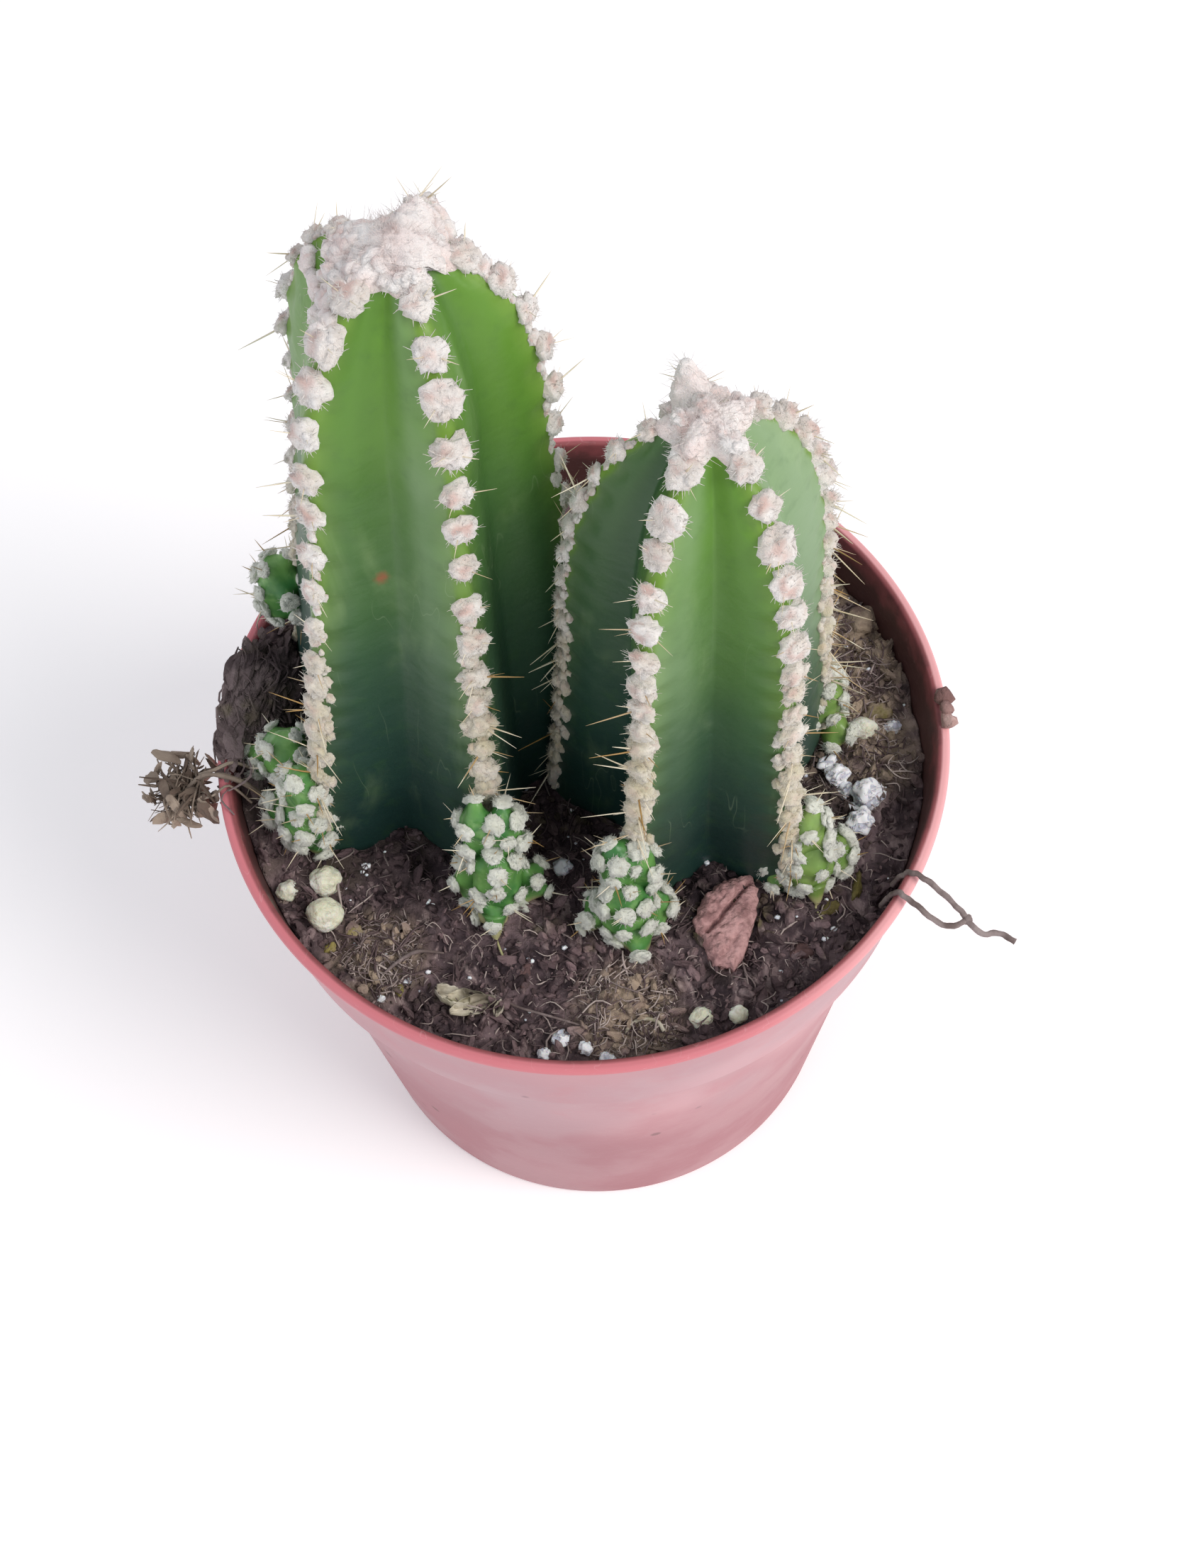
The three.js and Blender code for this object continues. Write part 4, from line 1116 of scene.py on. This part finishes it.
def makeLitter():
    dice = random.Random(peat["seed"])
    crumbs, fibres, specks = bmesh.new(), bmesh.new(), bmesh.new()
    for _ in range(peat["crumbs"]):
        x, y = openSpot(dice, 0.2)
        size = mostlySmall(dice, *peat["crumbSize"])
        place = moved((x, y, soilRelief(x, y) + 0.3 * size)) @ randomTurn(dice)
        shape = sized(size * dice.uniform(1, 2.6), size, size * dice.uniform(0.4, 0.8))
        stamp(crumbs, dice.choice(lumps if size > peat["bigCrumb"] else grains), place @ shape)
    for i in range(peat["fibres"] + peat["tuftFibres"]):
        x, y = openSpot(dice, 1.2, 38.3)
        if i >= peat["fibres"]:
            atX, atY, reach = peat["patches"][i % len(peat["patches"])]
            while hypot(x - atX, y - atY) > 0.75 * reach:
                x, y = openSpot(dice, 1.2, 38)
        length = mostlySmall(dice, *peat["fibreLength"])
        turn = turned(dice.uniform(0, fullTurn)) @ turned(dice.gauss(0, 0.3), "Y")
        place = moved((x, y, soilRelief(x, y) + 0.4)) @ turn
        thick = dice.uniform(2, 5)
        stamp(fibres, dice.choice(threads), place @ sized(length, max(length * 0.8, 2.4), thick))
    for _ in range(peat["specks"]):
        x, y = openSpot(dice, 0.6)
        size = mostlySmall(dice, *peat["speckSize"])
        place = moved((x, y, soilRelief(x, y) + 0.6 * size))
        stamp(specks, dice.choice(grains), place @ sized(size, size * 0.8, size * 0.7))
    finishPiece(crumbs, "peatCrumbs", crumbPaint, smooth=False)
    finishPiece(fibres, "peatFibres", fibreMaterial())
    finishPiece(specks, "paleSpecks", perlitePaint)


litterBits = {  # x, y, length, width, thickness, turn
    "wood": [(2.5, -32.7, 5.4, 2.3, 0.9, 2), (34.8, 16.4, 4.6, 3.6, 2.6, 40),
             (23.2, -26.8, 2.4, 1.9, 1.3, 10), (-8.4, -27.6, 3.0, 1.3, 0.7, 70),
             (29.5, 22.5, 3.2, 1.6, 1.0, -30)],
    "moss": [(-30.4, -22.3, 1.5, 1.1, 0.9, 20), (-22.5, -28.4, 1.3, 1.0, 0.8, 70),
             (35.4, 3.6, 3.3, 2.4, 2.0, 15), (33.3, 4.8, 2.0, 1.6, 1.3, 60), (30.2, -19.3, 3.6, 1.1, 1.2, 75),
             (-27.6, -20.6, 1.9, 1.6, 1.2, 0), (26.8, -21.6, 2.4, 1.6, 1.2, 30)],
    "white": [(28.6, -2.9, 2.4, 2.0, 1.7, 0), (30.4, -6.4, 2.0, 1.7, 1.5, 50),
              (30.9, -8.7, 1.8, 1.5, 1.3, 20), (27.9, 11.0, 1.3, 1.0, 0.9, 0),
              (-26.1, -12.4, 1.1, 0.9, 0.8, 0), (-21.6, -27.3, 1.1, 0.8, 0.7, 0),
              (-24.6, -29.4, 1.0, 0.8, 0.7, 30)],
    "loop": [(2.7, -35.5), (3.0, -34.5), (4.4, -34.1), (6.1, -34.6), (6.8, -35.8)],
}


def makeBits():
    woodPaint = crumbMaterial("darkWood", "54403f", "826766", "a88a86")
    mossPaint = crumbMaterial("dryMoss", "7d7436", "a89c52", "c0b878")
    kinds = (("wood", woodPaint, "bark"), ("moss", mossPaint, "moss"), ("white", perlitePaint, "perlite"))
    for kind, paint, slot in kinds:
        bm = bmesh.new()
        for i, (x, y, length, width, thick, turn) in enumerate(litterBits[kind]):
            shape = smallShape("bit", lump, 400 + i, 3, 0.5)
            place = moved((x, y, soilRelief(x, y) + 0.3 * thick)) @ turned(radians(turn))
            stamp(bm, shape, place @ sized(length / 2, width / 2, thick / 2))
        finishPiece(bm, kind + "Bits", paint)
    bm = bmesh.new()
    line = smoothLine([(x, y, soilRelief(x, y) + 0.5) for x, y in litterBits["loop"]], 6)
    sweep(bm, line, [0.24] * len(line), 6)
    finishPiece(bm, "paleLoop", huskPaint)


# loose things on the soil

loose = {
    "pellets": [(-30.7, -14.3, 1.9), (-30.9, -18.7, 2.1), (-35.3, -14.9, 1.3), (11.1, -34.2, 1.3),
                (15.2, -34.3, 1.1), (8.9, -20.4, 0.9), (33.6, 1.4, 1.5), (31.6, 8.6, 1.1)],
    "perlite": [(29.6, -4.6, 1.5), (32.8, -7.4, 1.9), (31.4, -11.3, 1.6), (36.9, 1.8, 1), (-4.7, -35.6, 1.1),
                (-2, -37, 0.8), (0.4, -38.2, 0.9), (-6.6, -37.4, 0.8), (-3.4, -14.2, 1.1)],
    "sink": 0.35, "squash": (1, 0.93, 0.86),
}
chip = {
    "outline": [(17.9, -17.3), (18.9, -19.1), (18.2, -22.8), (16.6, -27.0), (15.2, -29.0), (12.9, -28.2),
                (11.0, -22.7), (12.3, -20.0), (14.8, -18.0)],
    "lift": 0.2, "thick": 2.1, "round": 0.9, "grain": 58,  # the grain's azimuth in degrees
    "cracks": [((17.9, -18.4), (12.6, -24.2), 1.1), ((16.2, -24.6), (14.2, -27.4), 0.35)],
    "light": "c99f9d", "mid": "9a7574", "dark": "5c4140",
}


def perliteMaterial():
    paint = Painter("perlite", 0.9, 0.2, Subsurface_Weight=0.15, Subsurface_Scale=0.001)
    pits = paint.cloud(900, 3, 0.36, 0.5, warp=1)
    paint.tone(pits, "fbfbff", "c6c9d8")
    return paint.finish(paint.bump(pits, 0.5, 0.0005))


plainLooks = {  # roughness, shine; first noise, two colours; more noises, each with a colour; relief
    "feedGranules": (0.55, 0.35, (420, 4, 0.35, 0.7), "e2e1c6", "f8f6ea",
                     [((1100, 3, 0.58, 0.72, 0.4), "bfbb96")], (700, 5, 0.8, 0.0009)),
    "dryRoot": (0.85, 0.2, (300, 4, 0.35, 0.7), "6b5d5a", "a09290", [], (1400, 4, 0.6, 0.0004)),
    "husk": (0.8, 0.2, (350, 4, 0.35, 0.65), "968d7c", "ddd6c4", [((200, 2, 0.55, 0.7, 0.35), "a3a45c")],
             (900, 4, 0.6, 0.0004)),
    "tangle": (0.92, 0.15, None, "54473f", "ad9e8f", [((300, 3, 0.45, 0.7, 0.6), "6f5f55")],
               (1400, 4, 0.6, 0.0005)),
}


def plainMaterial(name, **sockets):  # without a first noise, the pieces differ from one another
    rough, shine, first, dark, light, more, relief = plainLooks[name]
    paint = Painter(name, rough, shine, **sockets)
    paint.tone(paint.cloud(*first) if first else paint.island(), light, dark)
    for values, colour in more:
        paint.clouds(colour, *values)
    return paint.finish(paint.relief(*relief))


perlitePaint = perliteMaterial()


def makeLumps(name, spots, material, node, rough):
    bm = bmesh.new()
    for i, (x, y, radius) in enumerate(spots):
        shape = smallShape("whole", lump, 200 + i, 4, rough)
        place = moved((x, y, soilHeight(x, y) + loose["sink"] * radius))
        stamp(bm, shape, place @ sized(*[radius * s for s in loose["squash"]]))
    finishPiece(bm, name, material, [f"{node}_{i + 1}" for i in range(len(spots))])


def barkMaterial():
    paint = Painter("bark", 0.95, 0.15)
    along = paint.stretched((0.6, 1, 1), (0, 0, radians(-chip["grain"])))
    paint.tone(paint.cloud(800, 6, 0.34, 0.66), chip["light"], chip["mid"])
    paint.clouds(chip["dark"], 520, 4, 0.58, 0.7, 0.55, place=along)
    return paint.finish(paint.relief(800, 5, 0.9, 0.001, place=along))


def lineGap(x, y, start, end):  # how far a point is from a stretch of line
    a, b, p = Vector(start), Vector(end), Vector((x, y))
    share = min(1, max(0, (p - a).dot(b - a) / (b - a).length_squared))
    return (p - a.lerp(b, share)).length


def makeChip():
    bm = bmesh.new()
    outline = chip["outline"]
    sides = list(zip(outline, outline[1:] + outline[:1]))
    middle = Vector((sum(x for x, _ in outline), sum(y for _, y in outline))) / len(outline)
    grid = moved((middle.x, middle.y, 0))
    bmesh.ops.create_grid(bm, x_segments=64, y_segments=64, size=7, matrix=grid)
    for (ax, ay), (bx, by) in sides:
        everything = bm.verts[:] + bm.edges[:] + bm.faces[:]
        bmesh.ops.bisect_plane(bm, geom=everything, plane_co=(ax, ay, 0), plane_no=(ay - by, bx - ax, 0),
                               clear_outer=True)
    lifted = bmesh.ops.extrude_face_region(bm, geom=bm.faces[:])["geom"]
    top = {item for item in lifted if isinstance(item, bmesh.types.BMVert)}
    for vert in bm.verts:
        x, y = vert.co.x, vert.co.y
        inside = min(lineGap(x, y, a, b) for a, b in sides)
        ragged = 0.45 * wave(x * 1.1, y * 1.1, vert in top, 4) * exp(-inside / 0.8)
        vert.co.x += ragged * (x - middle.x) / 4
        vert.co.y += ragged * (y - middle.y) / 4
        if vert in top:
            ridge = noise.turbulence(Vector((x * 0.9, y * 0.8, 1)), 6, True) - 0.5
            flakes = 0.35 * wave(x * 0.4, y * 0.35, 1, 7) + 0.22 * wave(x * 2.4, y * 2.4, 1, 9)
            cuts = sum(deep * exp(-(lineGap(x, y, a, b) / 0.28) ** 2) for a, b, deep in chip["cracks"])
            vert.co.z = chip["thick"] + 0.45 * ridge + flakes - cuts - chip["round"] * exp(-inside / 0.5)
    faceOut(bm)
    level = soilHeight(middle.x, middle.y) + chip["lift"]
    bmesh.ops.translate(bm, vec=(0, 0, level), verts=bm.verts)
    finishPiece(bm, "barkChip", barkMaterial(), ["bark_chip"])


laid = {
    "soil_fibre": {"name": "longFibre", "radius": 0.16,
                   "places": [(-12.6, -29.4, 0), (-9.6, -31.4, 0.6), (-5.6, -33.2, 0.8), (-1.4, -34.7, 0)]},
    "soil_twig": {"name": "frontTwig", "radius": 0.24,
                  "places": [(-24.8, -26.8, 0), (-22.6, -25.2, 0.2), (-20.2, -24.4, 0.3), (-17.4, -24.2, 0)]},
}
threadLift = 0.3
husk = {"curl": 1.1, "thick": 0.22, "scales": [  # x, y, lift, length, width, turn, tilt
    (-14.3, -31.3, 0.5, 5.4, 3.0, 14, 12), (-16.6, -30.3, 0.6, 4.2, 3.2, -28, -20),
    (-14.9, -29.9, 1.0, 4.4, 2.4, -6, 30), (-11.4, -31.9, 0.3, 1.9, 1.4, 60, 0)]}


def makeThreads(rootPaint):
    for node, values in laid.items():
        bm = bmesh.new()
        line = smoothLine([(x, y, soilHeight(x, y) + values["radius"] + threadLift + rise)
                           for x, y, rise in values["places"]], 10)
        count = len(line) - 1
        widths = [values["radius"] * (0.35 + 0.65 * sin(pi * (0.06 + 0.88 * i / count)))
                  * (1 + 0.12 * wave(i * 0.7, 0, 0, 2)) for i in range(count + 1)]
        sweep(bm, line, widths, 8)
        finishPiece(bm, values["name"], rootPaint, [node])


def scale(bm, length, width, seed):  # a dry scale with rolled edges, lying along X
    bmesh.ops.create_grid(bm, x_segments=30, y_segments=16, size=1)
    for vert in bm.verts:
        x, y = vert.co.x, vert.co.y
        narrow = (1 - 0.8 * x * x) * (1 + 0.2 * wave(x * 2.2, y, 0, seed))
        roll = abs(y) ** 3
        folds = 0.35 * wave(x * 1.6, y * 3.2, 0, seed + 3) + 0.25 * wave(x * 4, y * 5, 0, seed + 5)
        across = y * narrow * width / 2 * (1 - 0.3 * roll)
        vert.co = Vector((x * length / 2, across, husk["curl"] * roll + folds))
    bmesh.ops.solidify(bm, geom=bm.faces[:], thickness=husk["thick"])
    faceOut(bm)


def makeHusk():  # a broken husk of overlapping scales
    bm = bmesh.new()
    for i, (x, y, lift, length, width, turn, tilt) in enumerate(husk["scales"]):
        place = moved((x, y, soilHeight(x, y) + lift)) @ turned(radians(turn))
        shape = smallShape("scale", scale, length, width, 500 + 7 * i)
        stamp(bm, shape, place @ turned(radians(tilt), "X"))
    finishPiece(bm, "leafHusk", huskPaint, ["husk"])


rimRoot = {
    "fork": (41.2, -27.2, 71.4),
    "near": [(32.4, -22.9, 67.2), (33.0, -23.4, 70.6), (33.9, -24.0, 72.7), (35.6, -25.9, 73.0),
             (38.6, -28.2, 72.2)],
    "far": [(34.0, -20.4, 67.4), (34.7, -20.9, 70.6), (35.7, -21.6, 72.6), (37.4, -23.0, 72.8),
            (39.8, -25.4, 72.0)],
    "end": [(40.9, -27.1, 71.5), (42.6, -28.9, 71.1), (44.4, -28.8, 70.8), (46.2, -29.8, 70.4)],
    "radius": 0.34,
}


def addStrand(bm, line, widths, sides):  # a tube of its own, added to a piece
    stamp(bm, smallShape("strand", sweep, line, widths, sides), Matrix.Identity(4))


def makeRimRoot(rootPaint):
    bm = bmesh.new()
    strands = [rimRoot["near"] + [rimRoot["fork"]], rimRoot["far"] + [rimRoot["fork"]], rimRoot["end"]]
    for k, strand in enumerate(strands):
        line = [point + 0.16 * Vector((wave(i * 0.4, k, 1), wave(i * 0.4, k, 2), 0))
                for i, point in enumerate(smoothLine(strand, 7))]
        widths = [rimRoot["radius"] * (1 + 0.2 * wave(i * 0.45, k, 0, 6)) for i in range(len(line))]
        addStrand(bm, line, widths, 7)
    knot = smallShape("knot", lump, 300, 3, 0.25)
    stamp(bm, knot, moved(rimRoot["fork"]) @ Matrix.Scale(0.55, 4))
    finishPiece(bm, "forkedRoot", rootPaint, ["rim_root"])


tangle = {
    "core": (-46.2, -3.6, 70.2), "spread": (2.1, 2.0, 1.0), "farthest": 5.6,
    "over": [(-37.6, -4.4, 69.4), (-39.6, -4, 72.2), (-42, -3.6, 73.4), (-44.4, -3, 72.2),
             (-46.2, -3.6, 70.4)],
    "strands": [  # thinner strands that cross the rim, with their radii
        ([(-38.6, -1.2, 70.2), (-40.6, -1.5, 72.4), (-42.6, -2.6, 72.9), (-44.6, -2.2, 71.4)], 0.22),
        ([(-38.8, -5.4, 69.6), (-40.9, -4.6, 72.5), (-42.8, -5.6, 72.3), (-45.2, -5.2, 70.6)], 0.16)],
    "twigs": 84, "flakes": 96, "seed": 12, "twigRadius": (0.08, 0.14, 2), "flakeSize": (0.35, 0.6, 1.5),
}


def makeTangle():
    dice = random.Random(tangle["seed"])
    bm = bmesh.new()
    core = Vector(tangle["core"])
    line = smoothLine(tangle["over"], 4)
    addStrand(bm, line, [0.3 + 0.12 * wave(i * 0.5, 0, 0, 3) for i in range(len(line))], 6)
    for places, radius in tangle["strands"]:
        beside = smoothLine(places, 4)
        addStrand(bm, beside, [radius] * len(beside), 5)
    for _ in range(tangle["twigs"]):
        angle, reach = pi * (0.35 + 1.3 * dice.random()), dice.uniform(2.6, tangle["farthest"])
        start = core + Vector([dice.uniform(-1, 1) * s for s in tangle["spread"]])
        end = core + Vector((reach * cos(angle), reach * sin(angle), dice.uniform(-2.2, 1.6)))
        middle = start.lerp(end, 0.5) + scatter(dice, 1.3)
        radius = mostlySmall(dice, *tangle["twigRadius"])
        widths = [radius * share for share in (1, 1, 1, 0.9, 0.8, 0.6, 0.4)]
        addStrand(bm, smoothLine([start, middle, end], 3), widths, 4)
    for _ in range(tangle["flakes"]):
        offset = Vector([dice.gauss(0, 1) * s for s in tangle["spread"]])
        offset *= min(1, tangle["farthest"] * 0.85 / offset.length)
        size = mostlySmall(dice, *tangle["flakeSize"])
        flake, turn = dice.choice(lumps), randomTurn(dice)
        stamp(bm, flake, moved(core + offset) @ turn @ sized(size * 2.2, size * 0.8, size * 0.28))
    finishPiece(bm, "rimTangle", plainMaterial("tangle"), ["rim_tangle"], smooth=False)


def makeRimCrumb():
    bm = bmesh.new()
    for i, (dy, size) in enumerate(((-1.8, 0.9), (-0.3, 0.75), (1.5, 0.95))):
        place = moved((42.2, -0.6 + dy, pot["height"] + 0.55 + 0.3 * (i % 2)))
        stamp(bm, lumps[i], place @ sized(size * 1.1, size * 1.3, size * 0.9))
    paint = crumbMaterial("paleCrumb", "8c6b67", "bd9b95", "dcc2bc")
    finishPiece(bm, "rimCrumb", paint, ["rim_crumb"])


heap = {
    "crumbs": 640, "fibres": 330, "azimuth": 170.5, "spread": 5.5, "inner": 34, "outer": 42.1, "overRim": 40,
    "crumbSize": (0.3, 0.65, 2), "fibreLength": (2.5, 6), "seed": 31,
}


def makeHeap():  # peat heaped against the rim and over it
    dice = random.Random(heap["seed"])
    bm = bmesh.new()
    for i in range(heap["crumbs"] + heap["fibres"]):
        angle = radians(dice.gauss(heap["azimuth"], heap["spread"]))
        r = dice.uniform(heap["inner"], heap["outer"])
        way = ray(angle)
        lowest = pot["height"] - 0.4 if r > heap["overRim"] else 0
        z = max(soilHeight(*(way * min(r, heap["overRim"]))), lowest) + dice.uniform(0, 0.9)
        place = moved((way.x * r, way.y * r, z))
        if i < heap["crumbs"]:
            size = mostlySmall(dice, *heap["crumbSize"])
            shape = sized(size * 1.1, size * 2.3, size * 0.5)
            turn = turned(angle + dice.gauss(0, 0.3)) @ turned(dice.gauss(0, 0.3), "Y")
            stamp(bm, dice.choice(lumps), place @ turn @ shape)
        else:
            length = dice.uniform(*heap["fibreLength"])
            turn = turned(pi / 2 + dice.gauss(0, 0.35))
            stamp(bm, dice.choice(threads), place @ turn @ sized(length, length, 6))
    paint = crumbMaterial("heapPeat", "645656", "8f7f7e", "aa9a98")
    finishPiece(bm, "heapCrumbs", paint, smooth=False)


crumbPaint = crumbMaterial("peatCrumbs", "3c3134", "8a7476", "b3a09f")
rootPaint = plainMaterial("dryRoot")
granulePaint = plainMaterial("feedGranules", Subsurface_Weight=0.2, Subsurface_Scale=0.0015)
huskPaint = plainMaterial("husk")
makeSoil()
makeLitter()
print("soil made")
makeLumps("feedGranules", loose["pellets"], granulePaint, "pellet", 0.2)
makeLumps("perliteCrumbs", loose["perlite"], perlitePaint, "perlite", 0.36)
makeChip()
makeThreads(rootPaint)
makeHusk()
makeBits()
makeRimRoot(rootPaint)
makeTangle()
makeRimCrumb()
makeHeap()
print("loose pieces made")
